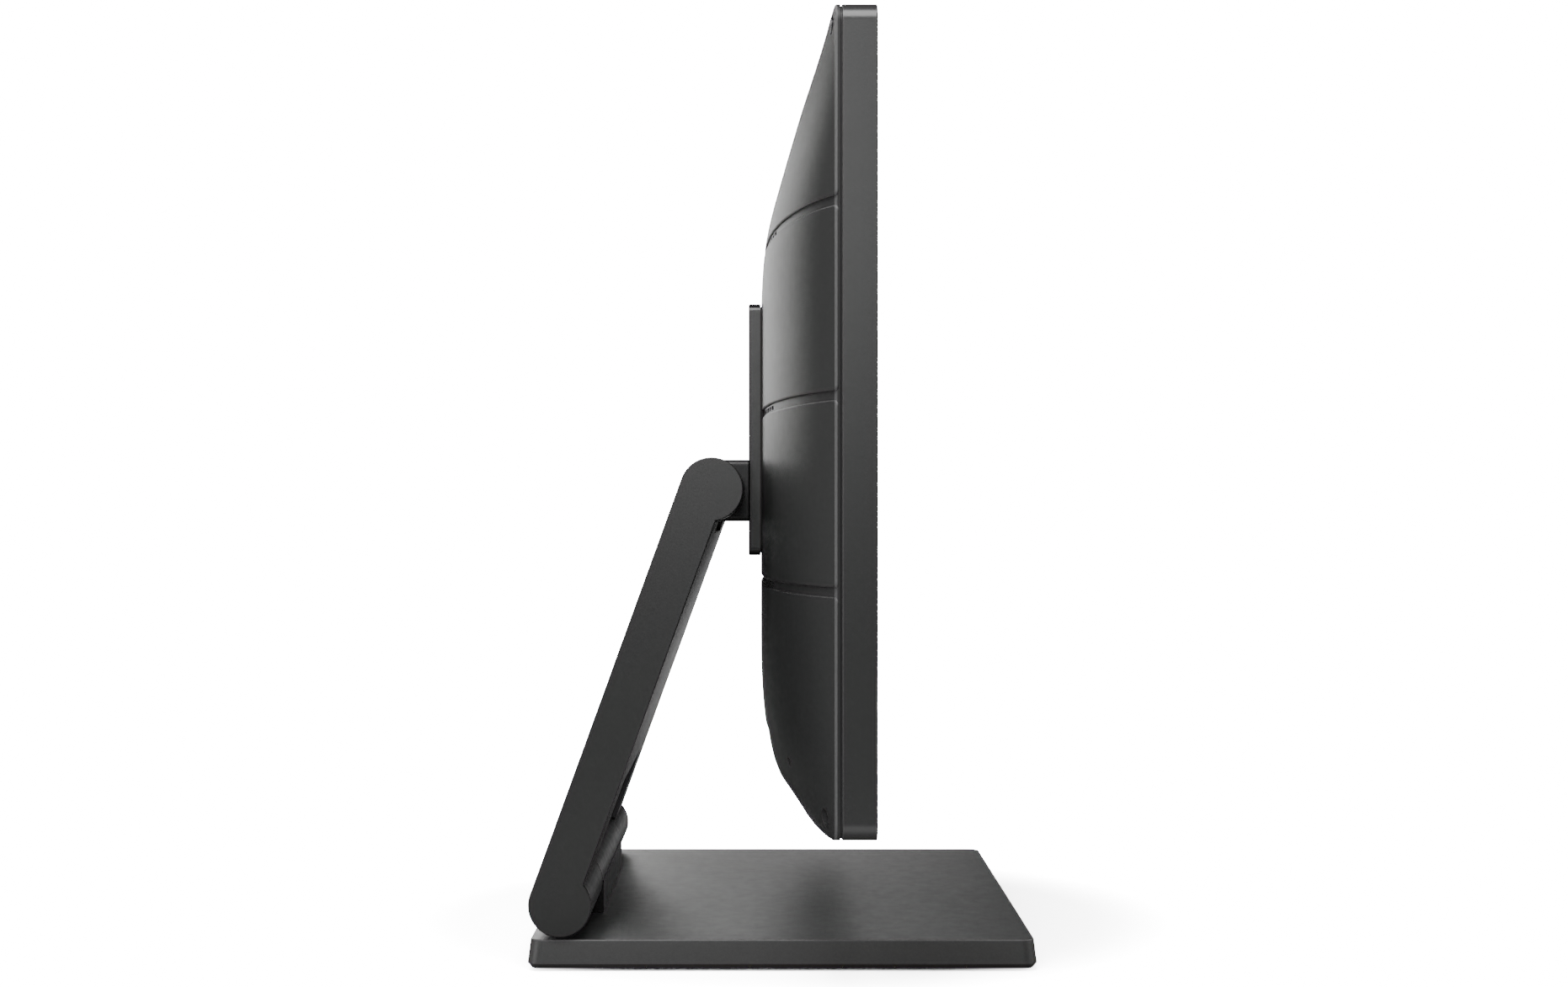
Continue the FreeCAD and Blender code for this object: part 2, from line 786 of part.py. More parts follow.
k = Body("speaker_grille")
k.pad(
    k.rect(
        k.sketch("XZ_Plane", -front - 2.3),
        wall + g - hw,
        hw - wall - g,
        z0 + wall + g,
        d["glass_z0"] - 0.5,
    ),
    d["glass_t"],
)
k.fillet(lambda e, bb: along_y(bb) and bb.ZMin < 120, 5.6)
k.pocket(k.circle(k.sketch("XZ_Plane"), 257.0, 106.0, 6.4), 120.0, both=True)
s = k.sketch("XZ_Plane")
k.rect(s, -262.0, -258.5, 98.0, 114.0)
first = k.pocket(s, 120.0, both=True)
k.linear(first, "X_Axis", 120.0, 16)
s = k.sketch("XZ_Plane")
k.rect(s, 138.0, 141.5, 98.0, 114.0)
second = k.pocket(s, 120.0, both=True)
k.linear(second, "X_Axis", 96.0, 13)

# ---- power button on the chin, with its switch board behind
k = Body("power_button")
k.pad(k.circle(k.sketch("XZ_Plane", -front), 257.0, 106.0, 6.0), 1.0, reverse=True)
k.pad(k.circle(k.sketch("XZ_Plane", -front - 0.9), 257.0, 106.0, 3.4), 4.8, reverse=True)
k.fillet(lambda e, bb: bb.YMax < fy + 0.01, 0.3)

node(
    "power_switch_board",
    fuse(
        box(247.0, 268.0, -33.6, -31.6, 96.0, 116.0),
        box(253.5, 260.5, -36.4, -33.6, 102.5, 109.5),
    ),
)

# ---- webcam
node("webcam_module", cut(
    fuse(
        box(-24.0, 24.0, -39.4, -34.2, 455.4, 465.6),
        cyl("y", 0.0, -41.0, 460.5, 3.6, 2.2),
    ),
    cyl("y", 0.0, -41.4, 460.5, 2.6, 1.4),
))
node("webcam_lens", cyl("y", 0.0, -40.9, 460.5, 2.5, 0.85))

# ---- display module
node(
    "display_panel",
    box(-260.5, 260.5, -39.4, -31.6, 153.0, 453.5),
)

# ---- steel chassis with the four mounting posts
k = Body("steel_chassis")
k.pad(
    k.rect(
        k.sketch("XZ_Plane", 31.6),
        wall + 0.05 - hw,
        hw - wall - 0.05,
        z0 + wall + 0.05,
        z1 - wall - 0.05,
    ),
    1.0,
    reverse=True,
)
k.fillet(lambda e, bb: along_y(bb), 5.8)
post_len = cover_back - d["cover_wall"] - 1.0 + 30.6
s = k.sketch("XZ_Plane", 30.8)
for sx in (-1, 1):
    for sz in (-1, 1):
        k.circle(s, sx * vh, d["vesa_z"] + sz * vh, 6.0)
k.pad(s, post_len, reverse=True)
s = k.sketch("XZ_Plane")
for sx in (-1, 1):
    for sz in (-1, 1):
        k.circle(s, sx * vh, d["vesa_z"] + sz * vh, 2.0)
k.pocket(s, 80.0, both=True)
s = k.sketch("XZ_Plane")
for sx in (-1, 1):
    k.circle(s, sx * 265.0, 91.4, 1.6)
    k.circle(s, sx * 265.0, 463.6, 1.6)
k.pocket(s, 80.0, both=True)

# ---- main board and what is on it
node(
    "motherboard",
    cut(
        box(-120.0, 118.0, -24.4, -22.8, 124.0, 316.0),
        *[
            cyl("y", sx * 50.0, -30.0, 231.0, 6.6, 10.0)
            for sx in (-1, 1)
        ],
    ),
)
posts = []
for x in (-114.0, 112.0):
    for z in (130.0, 222.0, 310.0):
        posts.append(cyl("y", x, -30.6, z, 3.0, 6.2))
node("board_standoffs", group(*posts))
node("cpu_socket", box(-10.0, 32.0, -22.8, -19.0, 244.0, 286.0))
node(
    "memory_modules",
    group(
        box(-100.0, -32.0, -22.8, -18.4, 150.0, 180.0),
        box(-100.0, -32.0, -22.8, -18.4, 184.0, 214.0),
    ),
)
node("wireless_card", box(70.0, 92.0, -22.8, -19.8, 140.0, 170.0))
node("heat_spreader", box(-8.0, 30.0, -19.0, -15.4, 246.0, 284.0))

# heat pipe: a bent round tube from the heat spreader to the fin stack
pipe_r = 3.0
PIPE_Y = -22.2
pts = [
    V(6, -12.4, 252),
    V(6, -12.4, 312),
    V(48, -19.0, 372),
    V(92, PIPE_Y, 434),
    V(212, PIPE_Y, 434),
]


def bent_path(points):
    """Straight runs joined by tangent arcs."""
    edges, at = [], points[0]
    for i in range(1, len(points) - 1):
        p, a, b = points[i], points[i - 1], points[i + 1]
        u, w = (a - p), (b - p)
        lu, lw = u.Length, w.Length
        u.normalize()
        w.normalize()
        turn = math.pi - u.getAngle(w)
        reach = min(0.45 * min(lu, lw), 22.0)
        start, end = p + u * reach, p + w * reach
        bis = u + w
        bis.normalize()
        radius = reach / math.tan(turn / 2)
        mid = p + bis * (math.sqrt(radius**2 + reach**2) - radius)
        edges.append(Part.LineSegment(at, start).toShape())
        edges.append(Part.Arc(start, mid, end).toShape())
        at = end
    edges.append(Part.LineSegment(at, points[-1]).toShape())
    return Part.Wire(edges)


path = bent_path(pts)
pipe = doc.addObject("Part::Feature", "heat_pipe_shape")
ring = Part.Wire([Part.Circle(pts[0], pts[1] - pts[0], pipe_r).toShape()])
pipe.Shape = path.makePipeShell([ring], True, False, 2)
pipe.Placement = FreeCAD.Placement()
node("heat_pipe", pipe)

fins = []
for i in range(25):
    x = 118.0 + i * 4.0
    fins.append(box(x, x + 0.8, -29.4, -17.6, 424.0, 444.0))
fin_pack = fuse(*fins, box(118.0, 214.8, -30.4, -29.4, 424.0, 444.0))
fin_pack = cut(fin_pack, cyl("x", 110.0, PIPE_Y, 434.0, 3.05, 110.0))
node("heatsink_fins", fin_pack)

# ---- centrifugal blower that feeds the fins
BX, BZ = 172.0, 378.0
shell_out = box(BX - 42, BX + 42, -30.4, -14.4, BZ - 42, BZ + 44.0)
hollow = cyl("y", BX, -29.2, BZ, 38.5, 13.6)
mouth = box(BX - 36, BX + 36, -29.2, -15.6, BZ + 10, BZ + 46.0)
inlet = cyl("y", BX, -18.0, BZ, 24.0, 6.0)
node("blower_housing", cut(shell_out, hollow, mouth, inlet))
k = Body("blower_impeller")
k.pad(k.circle(k.sketch("XZ_Plane", 0.0), 0.0, 0.0, 13.0), 9.6, reverse=True)
k.pad(k.circle(k.sketch("XZ_Plane", 0.0), 0.0, 0.0, 34.0), 1.2, reverse=True)
blade = k.pad(
    k.rect(k.sketch("XZ_Plane", 0.0), 12.0, 33.5, -0.5, 0.5), 8.8, reverse=True
)
k.polar(blade, "Y_Axis", 21)
k.place(FreeCAD.Placement(V(BX, -28.4, BZ), FreeCAD.Rotation()))

# ---- drive, supply, loudspeakers
node("solid_state_drive", box(132.0, 202.0, -29.4, -22.4, 196.0, 296.0))
node(
    "drive_caddy",
    cut(
        box(130.0, 204.0, -30.4, -20.8, 192.0, 300.0),
        box(132.0, 202.0, -29.4, -18.0, 190.0, 296.0),
    ),
)
node("power_supply", box(-232.0, -136.0, -30.4, -13.4, 150.0, 334.0))
speakers = []
for x0, x1 in ((-262.0, -136.0), (136.0, 242.0)):
    speakers.append(
        fuse(
            box(x0, x1, -39.4, -31.6, 89.0, 123.0),
            cyl("y", (x0 + x1) / 2, -40.6, 106.0, 11.0, 1.6),
        )
    )
node("loudspeakers", group(*speakers))

# ---- side sockets: connector shells with a tongue in each
side = []
for zc, width in SOCKETS:
    tall = width < 20
    y0, y1 = (-38.4, -33.2) if tall else (-38.4, -35.6)
    w = width - 0.4
    shell = box(263.5, hw - 0.3, y0, y1, zc - w / 2, zc + w / 2)
    room = box(
        266.0, hw + 0.5, y0 + 0.45, y1 - 0.45, zc - w / 2 + 0.45, zc + w / 2 - 0.45
    )
    body = cut(shell, room)
    if tall:
        tongue = box(265.0, hw - 1.6, y0 + 0.8, y0 + 2.2, zc - w / 2 + 1.0, zc + w / 2 - 1.0)
        body = fuse(body, tongue)
    side.append(body)
node("side_sockets", group(*side))

# ---- rear cover
rim_y = (d["head_front"] + d["bezel_d"] + d["seam_gap"] + d["flange_t"]).v
flange_y = rim_y - d["flange_t"].v
T = d["bulge"].v
Z0, Z1 = z0.v, z1.v
HW = hw.v
# share of the full depth, by distance below the top edge and above the bottom edge
TOP = [(0, 0.10), (7, 0.20), (15.7, 0.31), (27.2, 0.44), (41.7, 0.575), (50.7, 0.655),
       (63.6, 0.765), (74, 0.85), (86, 0.925), (98, 0.967), (112, 0.990), (128, 1.0)]
BOTTOM = [(0, 0.43), (3.8, 0.54), (10.0, 0.70), (16.0, 0.785), (22.5, 0.85), (33.5, 0.918),
          (45, 0.960), (57, 0.985), (70, 0.997), (84, 1.0)]


def ramp(table, x):
    """Smooth monotone interpolation through a table."""
    if x <= table[0][0]:
        return table[0][1]
    if x >= table[-1][0]:
        return table[-1][1]
    n = len(table)
    slope = [(table[i + 1][1] - table[i][1]) / (table[i + 1][0] - table[i][0]) for i in range(n - 1)]
    m = [slope[0]] + [
        0.0 if slope[i - 1] * slope[i] <= 0 else 2 * slope[i - 1] * slope[i] / (slope[i - 1] + slope[i])
        for i in range(1, n - 1)
    ] + [0.0]
    for i in range(n - 1):
        x0, y0 = table[i]
        x1, y1 = table[i + 1]
        if x <= x1:
            h = x1 - x0
            t = (x - x0) / h
            return (
                y0 * (2 * t**3 - 3 * t**2 + 1)
                + h * m[i] * (t**3 - 2 * t**2 + t)
                + y1 * (-2 * t**3 + 3 * t**2)
                + h * m[i + 1] * (t**3 - t**2)
            )
    return table[-1][1]


def rise(z):
    return min(ramp(TOP, Z1 - z), ramp(BOTTOM, z - Z0))


def across(u):
    """Share of the full depth, by distance from the middle of the head's width."""
    return 1.0 - 0.88 * u**2.8 - 0.12 * u**16


def section(z, half, depth_off, base, shift, span):
    """One closed wire at height z: the straight rim and the crowned back."""
    depth = (T - 0.25) * rise(z) - depth_off
    pts = []
    n = 22
    for i in range(n + 1):
        # closer together near the edges, where the crown turns quickly
        s = -math.cos(math.pi * i / n)
        x = half * s
        pts.append(V(x, rim_y + depth * across(abs(x) / span) - shift, z))
    curve = Part.BSplineCurve()
    curve.interpolate(pts)
    a, b = pts[0], pts[-1]
    edges = [
        curve.toShape(),
        Part.LineSegment(b, V(half, base, z)).toShape(),
        Part.LineSegment(V(half, base, z), V(-half, base, z)).toShape(),
        Part.LineSegment(V(-half, base, z), a).toShape(),
    ]
    return Part.Wire(edges)


def crown(half, lo, hi, depth_off, base, shift=0.0, span=None):
    levels = [lo, lo + 4, lo + 9, lo + 15, lo + 23, lo + 34, lo + 48, lo + 66, lo + 88]
    levels += [130 + 35 * i for i in range(2, 7)]
    levels += [hi - 110, hi - 92, hi - 76, hi - 62, hi - 48, hi - 34, hi - 20, hi - 9, hi]
    levels = sorted(levels)
    span = span or half
    wires = [section(z, half, depth_off, base, shift, span) for z in levels]
    return Part.makeLoft(wires, True, False)


outline = Part.makeBox(2 * HW, 80, Z1 - Z0, V(-HW, flange_y, Z0))
outline = outline.makeFillet(
    d["head_corner"].v, [e for e in outline.Edges if along_y(e.BoundBox)]
)
outer = crown(HW, Z0, Z1, 0.0, rim_y - 1.0).common(outline)
flange = Part.makeBox(2 * HW, d["flange_t"].v, Z1 - Z0, V(-HW, flange_y, Z0))
flange = flange.makeFillet(
    d["head_corner"].v, [e for e in flange.Edges if along_y(e.BoundBox)]
)
# a lip nests inside the bezel walls and rests on the chassis
lip = Part.makeBox(2 * HW - 6.6, 5.0, Z1 - Z0 - 6.6, V(3.3 - HW, -30.6, Z0 + 3.3))
lip = lip.makeFillet(5.5, [e for e in lip.Edges if along_y(e.BoundBox)])
# a raised pad backs the mounting plate
seat_y, seat_half = seat.v, ph.v - 1.5
pad = Part.makeBox(
    2 * seat_half, 3.0, 137.0, V(-seat_half, seat_y - 3.0, d["plate_z0"].v + 1.5)
)
solid = flange.fuse([outer, lip, pad])

cw = d["cover_wall"].v
grooves = [d["groove_hi"].v, d["groove_mid"].v, d["groove_lo"].v]
gh, gd = d["groove_h"].v, d["groove_d"].v
WELLS = [(sx * 265.0, zc) for sx in (-1, 1) for zc in (91.4, 463.6)]
PATTERN = [(sx * vh.v, d["vesa_z"].v + sz * vh.v) for sx in (-1, 1) for sz in (-1, 1)]
bh, bt, bf = d["bay_half"].v, d["bay_top"].v, d["bay_front"].v

# the hollow inside, less what stands in it
inner = crown(HW - 6.5, Z0 + 6.0, Z1 - 5.5, cw, -31.0)
deeper = crown(HW - 12.0, Z0 + 6.0, Z1 - 5.5, cw + gd, -31.0)
keep = []
for gz in grooves:
    # behind each groove the inside steps in too, so that the wall stays as thick
    slab = Part.makeBox(
        2 * HW + 20, 120, gh + 5, V(-HW - 10, flange_y - 20, gz - gh / 2 - 2.5)
    )
    keep.append(slab.cut(deeper))
for x, zc in WELLS:
    keep.append(
        Part.makeCylinder(5.6, flange_y + 2.0 + 32.0, V(x, -32.0, zc), V(0, 1, 0))
    )
# the walls of the connector bay, which is a pocket in the lower middle
keep.append(
    Part.makeBox(2 * bh + 5, 80, bt + 2.5 - Z0 + 5, V(-bh - 2.5, bf - 2.5, Z0 - 5))
)
inner = inner.cut(keep)

tools = [inner, Part.makeBox(2 * bh, 80, bt - Z0 + 5, V(-bh, bf, Z0 - 5))]
# the grooves follow the crown at a constant depth, and run out at the flange
floor = crown(HW + 6.0, Z0, Z1, 0.0, rim_y - 20.0, gd, HW)
corner = 3.0
for gz in grooves:
    slab = Part.makeBox(2 * HW, 60, gh, V(-HW, rim_y - gd + 0.1, gz - gh / 2))
    for sx in (-1, 1):
        for sz in (-1, 1):
            # the slats have rounded corners where a groove meets the side
            edge_z = gz + sz * gh / 2
            x0 = HW - corner if sx > 0 else -HW - 1.0
            block = Part.makeBox(
                corner + 1.0,
                60,
                corner + 0.5,
                V(x0, rim_y - gd + 0.1, edge_z - 0.5 if sz > 0 else edge_z - corner),
            )
            disc = Part.makeCylinder(
                corner,
                80,
                V(sx * (HW - corner), rim_y - 10.0, edge_z + sz * corner),
                V(0, 1, 0),
            )
            slab = slab.fuse(block.cut(disc))
    tools.append(slab.cut(floor))
# vent slots through the groove floors
for gz, x_from, x_to in (
    (grooves[0], -150.0, 230.0),
    (grooves[1], -150.0, -84.0),
    (grooves[1], 78.0, 144.0),
    (grooves[2], -150.0, 150.0),
):
    x = x_from
    while x < x_to:
        tools.append(Part.makeBox(9.0, 60, 2.2, V(x, -20, gz - 1.1)))
        x += 13.0
# exhaust slots above the fins
for i in range(16):
    tools.append(Part.makeBox(3.0, 60, 13.0, V(119.0 + 6.0 * i, -22.0, 428.0)))
# corner screw wells
for x, zc in WELLS:
    tools.append(Part.makeCylinder(4.6, 40, V(x, flange_y + 2.0, zc), V(0, 1, 0)))
    tools.append(Part.makeCylinder(1.7, 20, V(x, -35.0, zc), V(0, 1, 0)))
# security lock slot
tools.append(Part.makeBox(7.0, 60, 3.2, V(-201.5, -22.0, 109.4)))
# clearance for the mounting screws
for x, zc in PATTERN:
    tools.append(Part.makeCylinder(2.6, 60, V(x, -20, zc), V(0, 1, 0)))
# sockets down through the bay roof
CONNECTORS = [
    ("inlet", -93.0, -65.0, -15.6, 4.0),
    ("video", -56.0, -38.0, -13.0, -7.0),
    ("usb_a", -30.0, -16.4, -14.0, 1.6),
    ("usb_b", -8.0, 5.6, -14.0, 1.6),
    ("lan", 16.0, 32.0, -14.0, 0.0),
    ("audio", 42.0, 50.0, -13.0, -5.0),
]
for _, x0, x1, y0, y1 in CONNECTORS:
    tools.append(
        Part.makeBox(x1 - x0 + 0.4, y1 - y0 + 0.4, 6.0, V(x0 - 0.2, y0 - 0.2, bt - 1.0))
    )
solid = solid.cut(tools)
solid = max(solid.Solids, key=lambda q: q.Volume)
if not 6e5 < solid.Volume < 9e5:
    raise RuntimeError("the rear cover's volume is wrong: %.0f" % solid.Volume)
cover = doc.addObject("Part::Feature", "rear_cover_shape")
cover.Shape = solid
cover.Placement = FreeCAD.Placement()
node("rear_cover", cover)

screws = []
for sx in (-1, 1):
    for zc in (91.4, 463.6):
        head = cyl("y", sx * 265.0, flange_y + 2.0, zc, 3.4, 1.9)
        shank = cyl("y", sx * 265.0, -33.0, zc, 1.6, flange_y + 2.0 + 33.0)
        drive = cyl("y", sx * 265.0, flange_y + 2.7, zc, 1.2, 2.0)
        screws.append(cut(fuse(head, shank), drive))
node("cover_screws", group(*screws))

# ---- the sockets that look down into the bay
rear = []
for name, x0, x1, y0, y1 in CONNECTORS:
    top = 136.0 if name not in ("inlet",) else 140.0
    shell = box(x0, x1, y0, y1, bt - 0.2, top)
    wallt = 1.6 if name == "inlet" else 0.6
    if name == "audio":
        room = cyl("z", (x0 + x1) / 2, (y0 + y1) / 2, bt - 1.0, 1.8, 12.0)
        rear.append(cut(shell, room))
        continue
    if name.startswith("usb"):
        rooms = [
            box(x0 + wallt, x1 - wallt, y0 + wallt, y0 + 7.2, bt - 1, top - 4),
            box(x0 + wallt, x1 - wallt, y0 + 8.4, y1 - wallt, bt - 1, top - 4),
        ]
        tongues = [
            box(x0 + 1.6, x1 - 1.6, y0 + 1.6, y0 + 3.2, bt + 1.0, top - 3),
            box(x0 + 1.6, x1 - 1.6, y0 + 9.4, y0 + 11.0, bt + 1.0, top - 3),
        ]
        rear.append(fuse(cut(shell, *rooms), *tongues))
        continue
    room = box(x0 + wallt, x1 - wallt, y0 + wallt, y1 - wallt, bt - 1, top - 4)
    if name == "video":
        tongue = box(x0 + 2.6, x1 - 2.6, y0 + 2.2, y0 + 3.8, bt + 1.0, top - 3)
        rear.append(fuse(cut(shell, room), tongue))
    elif name == "lan":
        rear.append(cut(shell, room))
    else:
        inlet_shell = cut(shell, room)
        pins = [
            box(x0 + 6.0, x0 + 8.0, -8.0, -4.0, bt + 3.0, top - 3.0),
            box(x0 + 20.0, x0 + 22.0, -8.0, -4.0, bt + 3.0, top - 3.0),
            box(x0 + 13.0, x0 + 15.0, -2.6, 1.4, bt + 3.0, top - 3.0),
        ]
        NODE_INLET = fuse(inlet_shell, *pins)
node("power_inlet", NODE_INLET)
node("rear_sockets", group(*rear))

# ================================================================== CHECKS
doc.recompute()
bad = []
for o in doc.Objects:
    if "Invalid" in o.State or "Error" in o.State:
        bad.append((o.Name, o.State))
if bad:
    raise RuntimeError("failed objects: %s" % bad)
total = 0
for label, o in NODES.items():
    sh = o.Shape
    if sh.isNull() or not sh.isValid():
        raise RuntimeError("%s has no valid shape" % label)
    if not sh.Solids:
        raise RuntimeError("%s has no solid" % label)
    total += 1
if total > 60:
    raise RuntimeError("more than 60 nodes")
os.makedirs("parts", exist_ok=True)
for name in os.listdir("parts"):
    if name.endswith(".step"):
        os.remove(os.path.join("parts", name))
for label, o in NODES.items():
    sh = o.Shape
    sh.exportStep(os.path.join("parts", label + ".step"))
    bb = sh.BoundBox
    print(
        "%-22s solids %2d vol %9.1f  X %.1f..%.1f Y %.1f..%.1f Z %.1f..%.1f"
        % (label, len(sh.Solids), sh.Volume, bb.XMin, bb.XMax, bb.YMin, bb.YMax, bb.ZMin, bb.ZMax)
    )
print(total, "nodes; upper hinge axis at", UP)
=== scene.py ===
import json
import math

import bmesh
import bpy
import numpy as np
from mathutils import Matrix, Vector
from mathutils.geometry import delaunay_2d_cdt


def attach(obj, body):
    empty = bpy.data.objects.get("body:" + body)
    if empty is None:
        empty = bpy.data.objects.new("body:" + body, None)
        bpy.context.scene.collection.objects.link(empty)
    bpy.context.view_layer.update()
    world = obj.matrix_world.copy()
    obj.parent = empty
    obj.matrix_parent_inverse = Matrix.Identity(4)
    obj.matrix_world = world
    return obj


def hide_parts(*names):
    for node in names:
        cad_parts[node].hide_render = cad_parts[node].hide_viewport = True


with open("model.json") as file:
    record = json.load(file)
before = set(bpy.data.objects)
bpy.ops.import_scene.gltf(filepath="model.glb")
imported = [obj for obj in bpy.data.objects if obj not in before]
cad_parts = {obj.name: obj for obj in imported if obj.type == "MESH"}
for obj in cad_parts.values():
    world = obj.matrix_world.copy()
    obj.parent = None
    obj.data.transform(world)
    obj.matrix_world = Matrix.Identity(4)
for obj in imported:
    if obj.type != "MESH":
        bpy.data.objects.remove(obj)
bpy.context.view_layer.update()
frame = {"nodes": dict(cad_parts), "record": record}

NODES = frame["nodes"]
BODY_OF = {}
for _body, _members in frame["record"]["behaviour"]["bodies"].items():
    for _n in _members:
        BODY_OF[_n] = _body
MM = 0.001

# ------------------------------------------------------------------ camera
cam_data = bpy.data.cameras.new("camera")
cam = bpy.data.objects.new("camera", cam_data)
bpy.context.scene.collection.objects.link(cam)
cam.location = (-1.3732, 0.0091, 0.2356)
cam.rotation_euler = (math.radians(90), 0, math.radians(-90))
cam_data.sensor_width = 36.0
cam_data.lens = 54.216
cam_data.shift_x = 0.01235
cam_data.shift_y = 0.01128
cam_data.clip_start = 0.05
cam_data.clip_end = 60.0
bpy.context.scene.camera = cam


# --------------------------------------------------------------- materials
def new_material(name):
    m = bpy.data.materials.new(name)
    m.use_nodes = True
    nt = m.node_tree
    for n in list(nt.nodes):
        nt.nodes.remove(n)
    out = nt.nodes.new("ShaderNodeOutputMaterial")
    bsdf = nt.nodes.new("ShaderNodeBsdfPrincipled")
    nt.links.new(bsdf.outputs["BSDF"], out.inputs["Surface"])
    return m, nt, bsdf


def noise(nt, coord, scale, detail=2.0, rough=0.5):
    n = nt.nodes.new("ShaderNodeTexNoise")
    n.inputs["Scale"].default_value = scale
    n.inputs["Detail"].default_value = detail
    n.inputs["Roughness"].default_value = rough
    nt.links.new(coord, n.inputs["Vector"])
    return n.outputs["Fac"]


def spread(nt, fac, lo, hi, a=0.3, b=0.7):
    r = nt.nodes.new("ShaderNodeMapRange")
    r.inputs["From Min"].default_value = a
    r.inputs["From Max"].default_value = b
    r.inputs["To Min"].default_value = lo
    r.inputs["To Max"].default_value = hi
    nt.links.new(fac, r.inputs["Value"])
    return r.outputs["Result"]


def tint(nt, fac, c0, c1):
    r = nt.nodes.new("ShaderNodeValToRGB")
    r.color_ramp.elements[0].position = 0.3
    r.color_ramp.elements[0].color = (*c0, 1)
    r.color_ramp.elements[1].position = 0.7
    r.color_ramp.elements[1].color = (*c1, 1)
    nt.links.new(fac, r.inputs["Fac"])
    return r.outputs["Color"]


def surface(
    name,
    color,
    rough,
    grain=1600.0,
    bump=0.25,
    depth=0.00003,
    vary=0.08,
    rough_vary=0.05,
    metallic=0.0,
    specular=0.5,
    coat=0.0,
    coat_rough=0.3,
    stretch=None,
    broad=9.0,
    speckle=0.0,
    sheen=0.0,
    ior=1.5,
):
    """A finish with a fine moulded or blasted grain, broad tone drift and uneven gloss."""
    m, nt, b = new_material(name)
    tc = nt.nodes.new("ShaderNodeTexCoord")
    src = tc.outputs["Object"]
    fine_src = src
    if stretch:
        mp = nt.nodes.new("ShaderNodeMapping")
        mp.inputs["Scale"].default_value = stretch
        nt.links.new(src, mp.inputs["Vector"])
        fine_src = mp.outputs["Vector"]
    fine = noise(nt, fine_src, grain, 3.0, 0.6)
    wide = noise(nt, src, broad, 3.0, 0.55)
    mid = noise(nt, src, 160.0, 4.0, 0.6)
    lo = [c * (1 - vary) for c in color]
    hi = [min(1.0, c * (1 + vary)) for c in color]
    col = tint(nt, wide, lo, hi)
    if speckle:
        mx = nt.nodes.new("ShaderNodeMixRGB")
        mx.blend_type = "MULTIPLY"
        mx.inputs["Fac"].default_value = 1.0
        nt.links.new(col, mx.inputs["Color1"])
        sp = tint(nt, fine, [1 - speckle] * 3, [1 + speckle] * 3)
        nt.links.new(sp, mx.inputs["Color2"])
        col = mx.outputs["Color"]
    nt.links.new(col, b.inputs["Base Color"])
    add = nt.nodes.new("ShaderNodeMath")
    add.operation = "ADD"
    nt.links.new(spread(nt, mid, rough - rough_vary, rough + rough_vary), add.inputs[0])
    nt.links.new(spread(nt, fine, -0.4 * rough_vary, 0.4 * rough_vary), add.inputs[1])
    nt.links.new(add.outputs[0], b.inputs["Roughness"])
    bp = nt.nodes.new("ShaderNodeBump")
    bp.inputs["Strength"].default_value = bump
    bp.inputs["Distance"].default_value = depth
    nt.links.new(fine, bp.inputs["Height"])
    nt.links.new(bp.outputs["Normal"], b.inputs["Normal"])
    b.inputs["Metallic"].default_value = metallic
    b.inputs["Specular IOR Level"].default_value = specular
    b.inputs["IOR"].default_value = ior
    if coat:
        b.inputs["Coat Weight"].default_value = coat
        b.inputs["Coat Roughness"].default_value = coat_rough
    if sheen:
        b.inputs["Sheen Weight"].default_value = sheen
        b.inputs["Sheen Roughness"].default_value = 0.4
    return m


